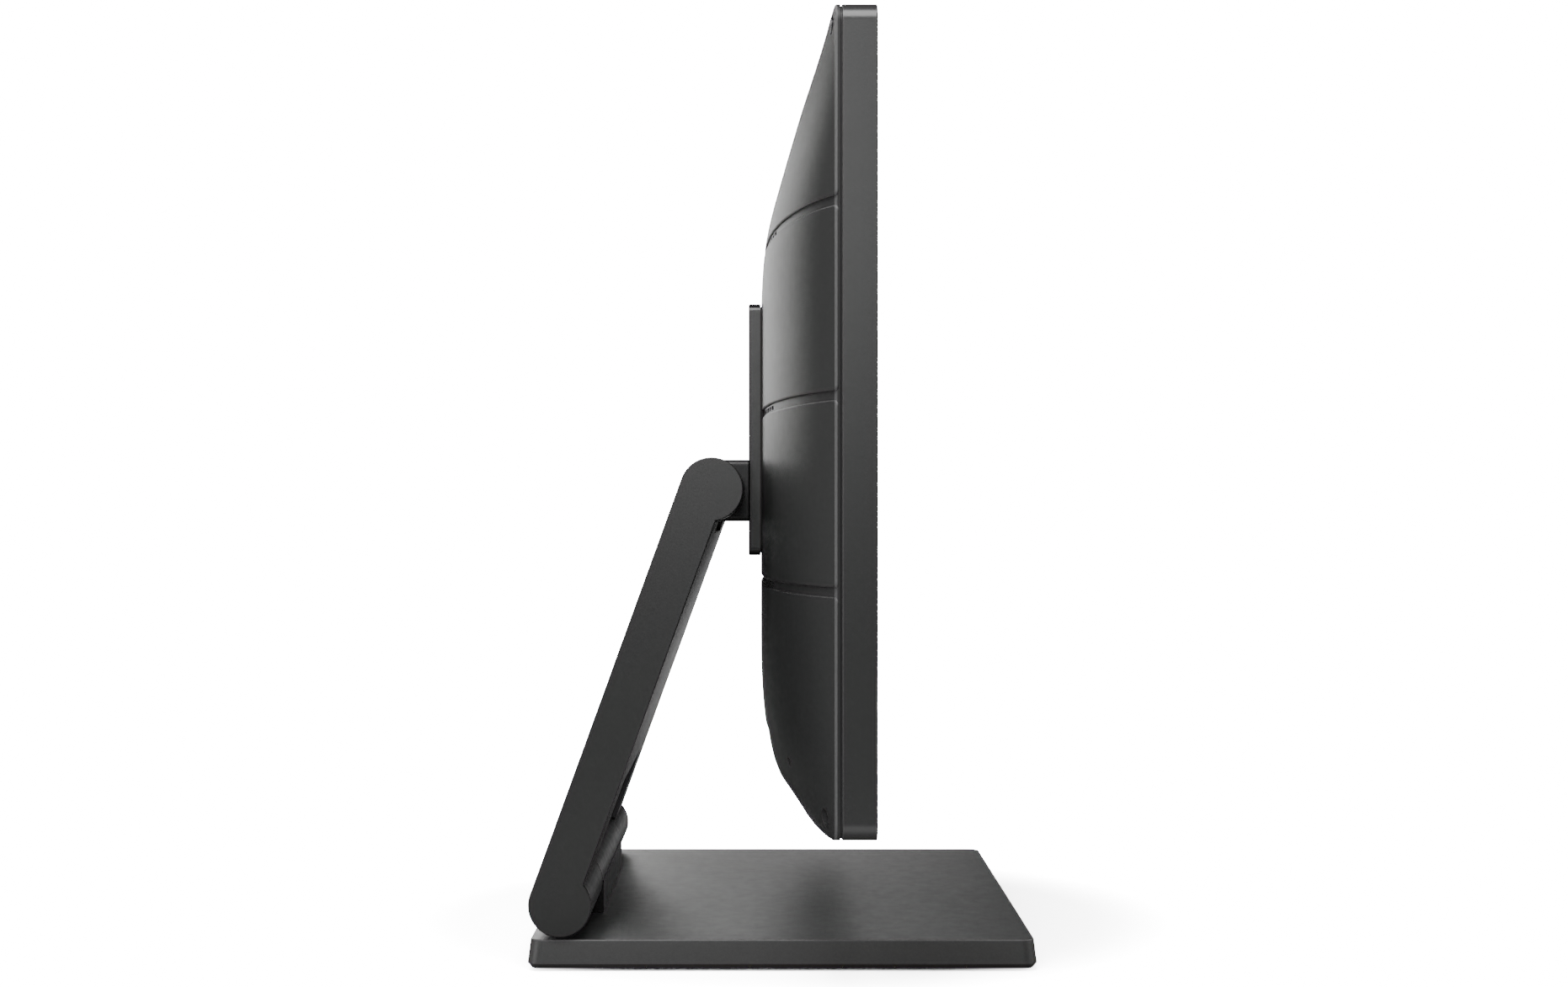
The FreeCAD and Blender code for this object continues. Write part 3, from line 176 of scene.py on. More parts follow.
G = (0.052, 0.052, 0.053)
MAT = {
    "cover": surface("cover_plastic", (0.040, 0.040, 0.0407), 0.50, grain=1500, bump=0.03, depth=0.00002, vary=0.05, rough_vary=0.015, specular=0.5),
    "bezel": surface("bezel_plastic", (0.042, 0.042, 0.0425), 0.29, grain=1800, bump=0.02, depth=0.00001, vary=0.04, rough_vary=0.008, specular=0.9),
    "arm": surface("arm_paint", (0.040, 0.040, 0.041), 0.40, grain=1900, bump=0.05, vary=0.06, rough_vary=0.03, specular=0.8),
    "cap": surface("cap_paint", (0.011, 0.011, 0.0111), 0.33, ior=1.62, grain=1900, bump=0.02, depth=0.00001, vary=0.05, rough_vary=0.01, specular=1.0),
    "base": surface("base_paint", (0.085, 0.085, 0.086), 0.44, grain=1300, bump=0.10, depth=0.00003, vary=0.05, rough_vary=0.03, speckle=0.12, specular=1.0),
    "knuckle": surface("knuckle_paint", (0.050, 0.050, 0.051), 0.36, grain=1700, bump=0.06, vary=0.06, specular=0.45),
    "plate": surface("plate_paint", (0.011, 0.011, 0.0112), 0.30, ior=1.55, grain=1700, bump=0.03, depth=0.00001, vary=0.06, rough_vary=0.015, specular=1.0),
    "grille": surface("grille_plastic", (0.030, 0.030, 0.031), 0.5, grain=2200, bump=0.3, vary=0.08),
    "button": surface("button_satin", (0.075, 0.075, 0.078), 0.28, grain=2600, bump=0.12, vary=0.06, metallic=0.6),
    "rubber": surface("foot_rubber", (0.018, 0.018, 0.018), 0.75, grain=900, bump=0.5, vary=0.15, specular=0.3),
    "pan": surface("pan_paint", (0.03, 0.03, 0.03), 0.55, grain=1200, bump=0.35, vary=0.1),
    "black_oxide": surface("black_oxide", (0.045, 0.045, 0.047), 0.34, grain=1500, bump=0.25, vary=0.15, metallic=0.9),
    "zinc": surface("zinc_plate", (0.50, 0.50, 0.49), 0.36, grain=700, bump=0.25, vary=0.12, metallic=1.0),
    "steel": surface("ground_steel", (0.55, 0.55, 0.56), 0.27, grain=500, bump=0.3, vary=0.06, metallic=1.0, stretch=(0.15, 3.0, 3.0)),
    "mill": surface("mill_steel", (0.36, 0.36, 0.37), 0.42, grain=420, bump=0.35, vary=0.12, metallic=1.0, stretch=(0.12, 2.0, 2.0)),
    "galv": surface("zinc_sheet", (0.47, 0.48, 0.49), 0.40, grain=240, bump=0.2, vary=0.10, metallic=1.0, broad=60.0),
    "brass": surface("turned_brass", (0.60, 0.43, 0.19), 0.3, grain=900, bump=0.2, vary=0.10, metallic=1.0),
    "copper": surface("dull_copper", (0.62, 0.29, 0.16), 0.33, grain=600, bump=0.2, vary=0.14, metallic=1.0, broad=40.0),
    "fins": surface("fin_sheet", (0.62, 0.63, 0.64), 0.30, grain=700, bump=0.2, vary=0.06, metallic=1.0),
    "board": surface("solder_resist", (0.012, 0.075, 0.038), 0.33, grain=420, bump=0.35, vary=0.25, broad=220.0, coat=0.3),
    "black": surface("black_plastic", (0.02, 0.02, 0.021), 0.48, grain=1500, bump=0.3, vary=0.12),
    "camera": surface("camera_black", (0.012, 0.012, 0.012), 0.55, grain=1500, bump=0.2, vary=0.12),
    "nickel": surface("nickel_shell", (0.52, 0.51, 0.49), 0.25, grain=900, bump=0.15, vary=0.06, metallic=1.0),
    "anodised": surface("anodised_case", (0.30, 0.31, 0.32), 0.36, grain=1400, bump=0.25, vary=0.06, metallic=1.0),
    "memory": surface("memory_board", (0.008, 0.05, 0.035), 0.38, grain=380, bump=0.35, vary=0.3, broad=260.0),
    "inlet": surface("inlet_plastic", (0.016, 0.016, 0.016), 0.5, grain=1300, bump=0.3, vary=0.12),
    "mesh": surface("speaker_cloth", (0.012, 0.012, 0.013), 0.85, grain=2600, bump=0.8, depth=0.0001, vary=0.2, specular=0.2),
}


def paint_edge_highlight(m, stops, gain, axis="Y"):
    """Painted highlight: lighten a finish's colour where its rounded rim lies, given as stops along one axis in metres.
    """
    nt = m.node_tree
    b = nt.nodes["Principled BSDF"]
    old = b.inputs["Base Color"].links[0].from_socket
    tc = nt.nodes.new("ShaderNodeTexCoord")
    sep = nt.nodes.new("ShaderNodeSeparateXYZ")
    nt.links.new(tc.outputs["Object"], sep.inputs[0])
    mask = None
    for a, c in stops:
        mr = nt.nodes.new("ShaderNodeMapRange")
        mr.interpolation_type = "SMOOTHSTEP"
        mr.inputs["From Min"].default_value, mr.inputs["From Max"].default_value = min(a, c), max(a, c)
        mr.inputs["To Min"].default_value, mr.inputs["To Max"].default_value = (0.0, 1.0) if c > a else (1.0, 0.0)
        nt.links.new(sep.outputs[axis], mr.inputs["Value"])
        if mask is None:
            mask = mr.outputs["Result"]
        else:
            mul = nt.nodes.new("ShaderNodeMath")
            mul.operation = "MULTIPLY"
            nt.links.new(mask, mul.inputs[0])
            nt.links.new(mr.outputs["Result"], mul.inputs[1])
            mask = mul.outputs[0]
    vm = nt.nodes.new("ShaderNodeVectorMath")
    vm.operation = "SCALE"
    nt.links.new(old, vm.inputs[0])
    nt.links.new(spread(nt, mask, 1.0, gain, 0.0, 1.0), vm.inputs["Scale"])
    nt.links.new(vm.outputs["Vector"], b.inputs["Base Color"])


def glass_material():
    """Clear sheet over a printed black border; the display behind it is near black when off."""
    m, nt, b = new_material("cover_glass")
    tc = nt.nodes.new("ShaderNodeTexCoord")
    sep = nt.nodes.new("ShaderNodeSeparateXYZ")
    nt.links.new(tc.outputs["Object"], sep.inputs[0])

    def inside(axis, lo, hi, soft=0.0002):
        up = nt.nodes.new("ShaderNodeMapRange")
        up.inputs["From Min"].default_value = lo - soft
        up.inputs["From Max"].default_value = lo + soft
        nt.links.new(sep.outputs[axis], up.inputs["Value"])
        dn = nt.nodes.new("ShaderNodeMapRange")
        dn.inputs["From Min"].default_value = hi + soft
        dn.inputs["From Max"].default_value = hi - soft
        nt.links.new(sep.outputs[axis], dn.inputs["Value"])
        mu = nt.nodes.new("ShaderNodeMath")
        mu.operation = "MULTIPLY"
        nt.links.new(up.outputs[0], mu.inputs[0])
        nt.links.new(dn.outputs[0], mu.inputs[1])
        return mu.outputs[0]

    both = nt.nodes.new("ShaderNodeMath")
    both.operation = "MULTIPLY"
    nt.links.new(inside("X", -0.2548, 0.2548), both.inputs[0])
    nt.links.new(inside("Z", 0.1600, 0.4467), both.inputs[1])
    smudge = noise(nt, tc.outputs["Object"], 14.0, 4.0, 0.6)
    active = tint(nt, smudge, (0.0105, 0.0110, 0.0125), (0.0135, 0.0140, 0.0155))
    mx = nt.nodes.new("ShaderNodeMixRGB")
    nt.links.new(both.outputs[0], mx.inputs["Fac"])
    mx.inputs["Color1"].default_value = (0.0035, 0.0035, 0.0038, 1)
    nt.links.new(active, mx.inputs["Color2"])
    nt.links.new(mx.outputs["Color"], b.inputs["Base Color"])
    nt.links.new(spread(nt, smudge, 0.035, 0.075), b.inputs["Roughness"])
    fine = noise(nt, tc.outputs["Object"], 5.0, 2.0, 0.5)
    bp = nt.nodes.new("ShaderNodeBump")
    bp.inputs["Strength"].default_value = 0.05
    bp.inputs["Distance"].default_value = 0.0004
    nt.links.new(fine, bp.inputs["Height"])
    nt.links.new(bp.outputs["Normal"], b.inputs["Normal"])
    b.inputs["Specular IOR Level"].default_value = 0.5
    b.inputs["IOR"].default_value = 1.5
    return m


def lens_material():
    m, nt, b = new_material("lens_coating")
    tc = nt.nodes.new("ShaderNodeTexCoord")
    # painted reflection: the lens's colour runs from purple to teal with the viewing angle, standing in for the tint
    # its coating reflects
    facing_sheen = nt.nodes.new("ShaderNodeLayerWeight")
    facing_sheen.inputs["Blend"].default_value = 0.4
    ramp = nt.nodes.new("ShaderNodeValToRGB")
    ramp.color_ramp.elements[0].color = (0.010, 0.006, 0.020, 1)
    ramp.color_ramp.elements[1].color = (0.020, 0.045, 0.060, 1)
    nt.links.new(facing_sheen.outputs["Facing"], ramp.inputs["Fac"])
    nt.links.new(ramp.outputs["Color"], b.inputs["Base Color"])
    f = noise(nt, tc.outputs["Object"], 900.0)
    nt.links.new(spread(nt, f, 0.03, 0.06), b.inputs["Roughness"])
    b.inputs["Coat Weight"].default_value = 1.0
    b.inputs["Coat Roughness"].default_value = 0.03
    return m


# painted highlights: the rims of the rear cover's slats, the bezel's rear edge and the base's top edge are lightened in
# colour for the light they catch
paint_edge_highlight(MAT["cover"], [(-0.0232, -0.0234), (-0.0247, -0.0245)], 4.2)
paint_edge_highlight(MAT["bezel"], [(-0.0277, -0.0274)], 1.7)
paint_edge_highlight(MAT["base"], [(0.01535, 0.0155), (0.015995, 0.01595)], 2.6, "Z")
MAT["glass"] = glass_material()
MAT["lens"] = lens_material()

NODE_MAT = {
    "base_cover": "base", "base_ballast_plate": "mill", "base_bottom_pan": "pan", "base_rubber_feet": "rubber",
    "base_pan_screws": "black_oxide", "base_knuckle": "knuckle", "base_knuckle_bolts": "zinc", "lower_hinge_shaft": "steel",
    "lower_friction_packs": "mill", "arm_casting": "arm", "arm_front_cover": "arm", "arm_end_cap_left": "cap",
    "arm_end_cap_right": "cap", "arm_lower_bushes": "brass", "arm_upper_bushes": "brass", "upper_hinge_shaft": "steel",
    "upper_friction_packs": "mill", "head_knuckle": "knuckle", "mount_plate": "plate", "mount_screws": "black_oxide",
    "knuckle_screws": "zinc", "front_bezel": "bezel", "cover_glass": "glass", "speaker_grille": "grille",
    "power_button": "button", "power_switch_board": "board", "webcam_module": "camera", "webcam_lens": "lens",
    "display_panel": "black", "steel_chassis": "galv", "motherboard": "board", "board_standoffs": "brass",
    "cpu_socket": "black", "memory_modules": "memory", "wireless_card": "board", "heat_spreader": "copper",
    "heat_pipe": "copper", "heatsink_fins": "fins", "blower_housing": "black", "blower_impeller": "black",
    "solid_state_drive": "anodised", "drive_caddy": "galv", "power_supply": "anodised", "loudspeakers": "mesh",
    "side_sockets": "nickel", "rear_cover": "cover", "cover_screws": "black_oxide", "power_inlet": "inlet",
    "rear_sockets": "nickel",
}
for _n, _o in NODES.items():
    _o.data.materials.clear()
    _o.data.materials.append(MAT[NODE_MAT[_n]])


def publish(obj, node, mat=None):
    """A finished piece that stands for one CAD node."""
    obj.data.materials.clear()
    obj.data.materials.append(MAT[mat or NODE_MAT[node]])
    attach(obj, BODY_OF[node])
    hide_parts(node)
    return obj


# ---------------------------------------------------- mesh builder (in mm)
class Builder:
    """Faces with a normal for every corner; vertices that meet are shared."""

    def __init__(self):
        self.index, self.co, self.faces, self.normals = {}, [], [], []

    def vertex(self, p):
        key = (round(p[0] * 2000), round(p[1] * 2000), round(p[2] * 2000))
        i = self.index.get(key)
        if i is None:
            i = self.index[key] = len(self.co)
            self.co.append((p[0] * MM, p[1] * MM, p[2] * MM))
        return i

    def face(self, pts, nrm, toward=None):
        """nrm is one normal per point, or one for all; the winding follows toward or the mean normal."""
        ids = [self.vertex(p) for p in pts]
        if not isinstance(nrm[0], (tuple, list, Vector)):
            nrm = [nrm] * len(pts)
        keep = []
        for k in range(len(ids)):
            if ids[k] != ids[k - 1]:
                keep.append(k)
        ids, nrm, pts = [ids[k] for k in keep], [nrm[k] for k in keep], [pts[k] for k in keep]
        if len(set(ids)) < 3 or len(set(ids)) != len(ids):
            return
        mean = Vector((0, 0, 0))
        for n in nrm:
            mean += Vector(n)
        ref = Vector(toward) if toward else mean
        area = Vector((0, 0, 0))
        for k in range(len(pts)):
            area += Vector(pts[k]).cross(Vector(pts[(k + 1) % len(pts)]))
        if area.dot(ref) < 0:
            ids.reverse()
            nrm = list(reversed(nrm))
        self.faces.append(ids)
        self.normals.append([tuple(Vector(n).normalized()) for n in nrm])

    def strip(self, a, b, na, nb, closed=True):
        """Quads between two rows of points of the same length."""
        n = len(a)
        for i in range(n if closed else n - 1):
            j = (i + 1) % n
            self.face([a[i], a[j], b[j], b[i]], [na[i], na[j], nb[j], nb[i]])

    def make(self, name):
        seen, faces, normals = set(), [], []
        for f, n in zip(self.faces, self.normals):
            key = tuple(sorted(f))
            if key in seen:
                continue
            seen.add(key)
            faces.append(f)
            normals.append(n)
        me = bpy.data.meshes.new(name)
        me.from_pydata(self.co, [], faces)
        me.update()
        flat = [v for n in normals for v in n]
        me.polygons.foreach_set("use_smooth", [True] * len(me.polygons))
        me.normals_split_custom_set(flat)
        ob = bpy.data.objects.new(name, me)
        bpy.context.scene.collection.objects.link(ob)
        return ob


def rounded(corners, step=6.0, arc_steps=None, splits=None, clear=1.2):
    """A closed outline with rounded corners, counter-clockwise.  corners: (x, y, r).
    Returns points, outward normals and the index of the corner-to-corner side each point starts."""
    n = len(corners)
    pts, nor, kind = [], [], []
    info = []
    for i in range(n):
        x, y, r = corners[i]
        px, py, _ = corners[i - 1]
        qx, qy, _ = corners[(i + 1) % n]
        u = Vector((px - x, py - y)).normalized()
        w = Vector((qx - x, qy - y)).normalized()
        cross = (-u).x * w.y - (-u).y * w.x
        turn = math.acos(max(-1, min(1, (-u).dot(w))))
        reach = r * math.tan(turn / 2)
        info.append((Vector((x, y)), u, w, cross, turn, reach, r))
    for i in range(n):
        p, u, w, cross, turn, reach, r = info[i]
        if r > 0:
            a, b = p + u * reach, p + w * reach
            bis = (u + w).normalized()
            c = p + bis * (r / math.cos(turn / 2))
            steps = arc_steps or max(3, int(math.ceil(math.degrees(turn) / 9)) if r < 3.5 else int(math.ceil(math.degrees(turn) / 6)))
            a0 = math.atan2(a.y - c.y, a.x - c.x)
            sweep = turn if cross > 0 else -turn
            for k in range(steps + 1):
                t = a0 + sweep * k / steps
                d = Vector((math.cos(t), math.sin(t)))
                pts.append((c.x + r * d.x, c.y + r * d.y))
                s = 1 if cross > 0 else -1
                nor.append((d.x * s, d.y * s))
                kind.append(("arc", i) if k < steps else ("side", i))
        else:
            pts.append((p.x, p.y))
            bis = -(u + w)
            bis.normalize()
            nor.append((bis.x, bis.y) if cross > 0 else (-bis.x, -bis.y))
            kind.append(("side", i))
        # along the straight side to the next corner
        p2, u2, _, _, _, reach2, _ = info[(i + 1) % n]
        start = p + w * reach
        end = p2 + u2 * reach2
        length = (end - start).length
        d = (end - start) / max(length, 1e-9)
        out = (d.y, -d.x)
        marks = []
        if splits:
            along = splits[0] if abs(d.x) > 0.9 else splits[1]
            begin = start.x if abs(d.x) > 0.9 else start.y
            sign = d.x if abs(d.x) > 0.9 else d.y
            marks = sorted(s for s in ((m - begin) * sign for m in along) if clear < s < length - clear)
        if not marks:
            cnt = max(1, int(round(length / step)))
            marks = [length * k / cnt for k in range(1, cnt)]
        for s in marks:
            q = start + d * s
            pts.append((q.x, q.y))
            nor.append(out)
            kind.append(("side", i))
    return pts, nor, kind


def rect_loop(x0, x1, y0, y1, r=0.0, step=6.0, arc_steps=3):
    return rounded([(x0, y0, r), (x1, y0, r), (x1, y1, r), (x0, y1, r)], step, arc_steps)


def circle_loop(cx, cy, r, n=28):
    pts = [(cx + r * math.cos(2 * math.pi * k / n), cy + r * math.sin(2 * math.pi * k / n)) for k in range(n)]
    nor = [((p[0] - cx) / r, (p[1] - cy) / r) for p in pts]
    return pts, nor, [("arc", 0)] * n


def inside_many(loop, pts):
    """Which of the points lie inside a closed outline."""
    a = np.asarray(loop, float)
    b = np.roll(a, -1, axis=0)
    pts = np.asarray(pts, float).reshape(-1, 2)
    hit = np.zeros(len(pts), bool)
    box = (pts[:, 0] >= a[:, 0].min()) & (pts[:, 0] <= a[:, 0].max()) & (pts[:, 1] >= a[:, 1].min()) & (pts[:, 1] <= a[:, 1].max())
    sel = np.nonzero(box)[0]
    if not len(sel):
        return hit
    x, y = pts[sel, 0], pts[sel, 1]
    h = np.zeros(len(sel), bool)
    for (x0, y0), (x1, y1) in zip(a, b):
        if y0 == y1:
            continue
        cross = (y0 > y) != (y1 > y)
        h ^= cross & (x < (x1 - x0) * (y - y0) / (y1 - y0) + x0)
    hit[sel] = h
    return hit


def fill(outer, holes, points):
    """Triangles over an outline with holes; every given point becomes a corner."""
    verts = [Vector(p) for p in outer]
    edges = [(i, (i + 1) % len(outer)) for i in range(len(outer))]
    for h in holes:
        s = len(verts)
        verts += [Vector(p) for p in h]
        edges += [(s + i, s + (i + 1) % len(h)) for i in range(len(h))]
    verts += [Vector(p) for p in points]
    out_v, _, out_f, _, _, _ = delaunay_2d_cdt(verts, edges, [], 0, 1e-6)
    co = np.array([(v.x, v.y) for v in out_v])
    mid = np.array([co[list(f)].mean(0) for f in out_f])
    ok = inside_many(outer, mid)
    for h in holes:
        ok &= ~inside_many(h, mid)
    exact = {}
    for v in verts:
        exact.setdefault((round(v.x, 4), round(v.y, 4)), (v.x, v.y))
    pos = [exact.get((round(x, 4), round(y, 4)), (x, y)) for x, y in co]
    return [[pos[i] for i in f] for f, good in zip(out_f, ok) if good]


def grid_points(xs, ys, outer, holes, keep_off):
    """Grid points inside the outline, at least keep_off from every edge point."""
    edge = np.array([p for loop in [outer, *holes] for p in loop])
    res = []
    for y in ys:
        near_y = edge[np.abs(edge[:, 1] - y) < keep_off + 0.01]
        for x in xs:
            if len(near_y):
                dx = near_y[:, 0] - x
                dy = near_y[:, 1] - y
                if np.any(dx * dx + dy * dy < keep_off * keep_off):
                    continue
            res.append((x, y))
    if not res:
        return []
    ok = inside_many(outer, res)
    for h in holes:
        ok &= ~inside_many(h, res)
    return [q for q, good in zip(res, ok) if good]


def add2(p, n, t):
    return (p[0] + n[0] * t, p[1] + n[1] * t)


def edge_round(b, pts, nor, radius, face_normal, wall_normal, to3, drop, steps=4, which=None):
    """A rounded edge between a face and the wall below it.  to3(p, depth) places a point; face_normal(p) and
    wall_normal(n) are in 3-D.  Returns nothing: the outer row ends at depth radius, on the outline itself."""
    rows, norms = [], []
    for k in range(steps + 1):
        a = math.pi / 2 * k / steps
        d, low = radius * (1 - math.sin(a)), radius * (1 - math.cos(a))
        row = [add2(p, n, -d) for p, n in zip(pts, nor)]
        rows.append([to3(q, low) for q in row])
        norms.append(
            [
                (Vector(face_normal(q)) * math.cos(a) + Vector(wall_normal(n)) * math.sin(a)).normalized()
                for q, n in zip(row, nor)
            ]
        )
    n = len(pts)
    for k in range(steps):
        for i in range(n):
            if which is not None and not which[i]:
                continue
            j = (i + 1) % n
            b.face(
                [rows[k][i], rows[k][j], rows[k + 1][j], rows[k + 1][i]],
                [norms[k][i], norms[k][j], norms[k + 1][j], norms[k + 1][i]],
            )


def extrude(name, loop, holes, w0, w1, to3, radius=0.4, hole_radius=0.2, points=(), steps=3):
    """A closed plate: outline with holes in (u, v), from w0 to w1, rounded on both faces' edges.
    to3(u, v, w) places a point and must keep orientation up to the winding, which is worked out per face."""
    b = Builder()
    o = Vector(to3(0, 0, 0))
    eu, ev, ew = (Vector(to3(1, 0, 0)) - o, Vector(to3(0, 1, 0)) - o, Vector(to3(0, 0, 1)) - o)
    pts, nor, _ = loop
    hl = [(h[0], [(-n[0], -n[1]) for n in h[1]]) for h in holes]
    for w, sign in ((w1, 1), (w0, -1)):
        fn = ew * sign
        inner = [add2(p, n, -radius) for p, n in zip(pts, nor)]
        hin = [[add2(p, n, -hole_radius) for p, n in zip(hp, hn)] for hp, hn in hl]
        for tri in fill(inner, hin, list(points)):
            b.face([to3(q[0], q[1], w) for q in tri], fn)
        for ps, ns, r in [(pts, nor, radius)] + [(hp, hn, hole_radius) for hp, hn in hl]:
            edge_round(
                b, ps, ns, r, lambda q: fn, lambda n: eu * n[0] + ev * n[1],
                lambda q, low: to3(q[0], q[1], w - sign * low), None, steps,
            )
    for ps, ns, r in [(pts, nor, radius)] + [(hp, hn, hole_radius) for hp, hn in hl]:
        n3 = [eu * n[0] + ev * n[1] for n in ns]
        b.strip([to3(p[0], p[1], w0 + r) for p in ps], [to3(p[0], p[1], w1 - r) for p in ps], n3, n3)
    return b.make(name)


def refine(node, width=0.35, segments=2, angle=38.0, mat=None):
    """The CAD node's own shape with its hard edges rounded."""
    src = NODES[node].data
    bm = bmesh.new()
    bm.from_mesh(src)
    bmesh.ops.remove_doubles(bm, verts=bm.verts, dist=2e-6)
    for f in bm.faces:
        f.smooth = True
    me = bpy.data.meshes.new(node + "_shape")
    bm.to_mesh(me)
    bm.free()
    me.set_sharp_from_angle(angle=math.radians(28))
    ob = bpy.data.objects.new(node + "_finished", me)
    bpy.context.scene.collection.objects.link(ob)
    bv = ob.modifiers.new("edges", "BEVEL")
    bv.width = width * MM
    bv.segments = segments
    bv.limit_method = "ANGLE"
    bv.angle_limit = math.radians(angle)
    bv.miter_outer = "MITER_ARC"
    bv.use_clamp_overlap = True
    bv.harden_normals = False
    wn = ob.modifiers.new("flat", "WEIGHTED_NORMAL")
    wn.mode = "FACE_AREA"
    wn.weight = 100
    wn.keep_sharp = True
    # the rounded mesh is kept only if no face was lost
    dg = bpy.context.evaluated_depsgraph_get()
    made = bpy.data.meshes.new_from_object(ob.evaluated_get(dg), preserve_all_data_layers=True, depsgraph=dg)
    before = sum(q.area for q in me.polygons)
    made.calc_loop_triangles()
    after = sum(t.area for t in made.loop_triangles)
    if abs(after / before - 1) > 0.03:
        bpy.data.meshes.remove(made)
        bpy.data.objects.remove(ob)
        return None
    ob.modifiers.clear()
    ob.data = made
    # wide flat faces stay flat right up to their rounded edges
    corner = [Vector(q.vector) for q in made.corner_normals]
    mended = 0
    for q in made.polygons:
        if q.area > 4e-6:
            for li in q.loop_indices:
                if corner[li].dot(q.normal) < 0.985:
                    corner[li] = Vector(q.normal)
                    mended += 1
    if mended:
        made.normals_split_custom_set([tuple(q) for q in corner])
    return publish(ob, node, mat)


# -------------------------------------------------------------- rear cover
HW, Z0, Z1, RIM, DEEP = 280.0, 82.0, 472.0, -23.9, 35.05
GROOVES = [379.8, 289.2, 197.7]
TOP = [(0, .10), (7, .20), (15.7, .31), (27.2, .44), (41.7, .575), (50.7, .655), (63.6, .765), (74, .85), (86, .925),
       (98, .967), (112, .990), (128, 1.0)]
BOTTOM = [(0, .43), (3.8, .54), (10, .70), (16, .785), (22.5, .85), (33.5, .918), (45, .960), (57, .985), (70, .997),
          (84, 1.0)]


def slopes(table):
    n = len(table)
    s = [(table[i + 1][1] - table[i][1]) / (table[i + 1][0] - table[i][0]) for i in range(n - 1)]
    return [s[0]] + [0.0 if s[i - 1] * s[i] <= 0 else 2 * s[i - 1] * s[i] / (s[i - 1] + s[i]) for i in range(1, n - 1)] + [0.0]


TOP_M, BOTTOM_M = slopes(TOP), slopes(BOTTOM)


def ramp(table, m, x):
    if x <= table[0][0]:
        return table[0][1] + m[0] * (x - table[0][0])
    if x >= table[-1][0]:
        return table[-1][1]
    for i in range(len(table) - 1):
        x0, y0 = table[i]
        x1, y1 = table[i + 1]
        if x <= x1:
            h = x1 - x0
            t = (x - x0) / h
            return (y0 * (2 * t**3 - 3 * t**2 + 1) + h * m[i] * (t**3 - 2 * t**2 + t)
                    + y1 * (-2 * t**3 + 3 * t**2) + h * m[i + 1] * (t**3 - t**2))
    return table[-1][1]


def rise(z):
    return min(ramp(TOP, TOP_M, Z1 - z), ramp(BOTTOM, BOTTOM_M, z - Z0))


def across(u):
    return 1.0 - 0.88 * u**2.8 - 0.12 * u**16


def surf(x, z):
    return RIM + DEEP * rise(z) * across(min(abs(x) / HW, 1.0))


_cache = {}


def up(q):
    """Normal of the crown at (x, z)."""
    key = (round(q[0], 3), round(q[1], 3))
    v = _cache.get(key)
    if v is None:
        x, z = q
        e = 0.4
        sx = x if abs(x) < HW - e else math.copysign(HW - e, x)
        dx = (surf(sx + e, z) - surf(sx - e, z)) / (2 * e)
        dz = (surf(x, z + e) - surf(x, z - e)) / (2 * e)
        v = _cache[key] = Vector((-dx, 1.0, -dz)).normalized()
    return v


def flat3(n):
    return Vector((n[0], 0.0, n[1]))


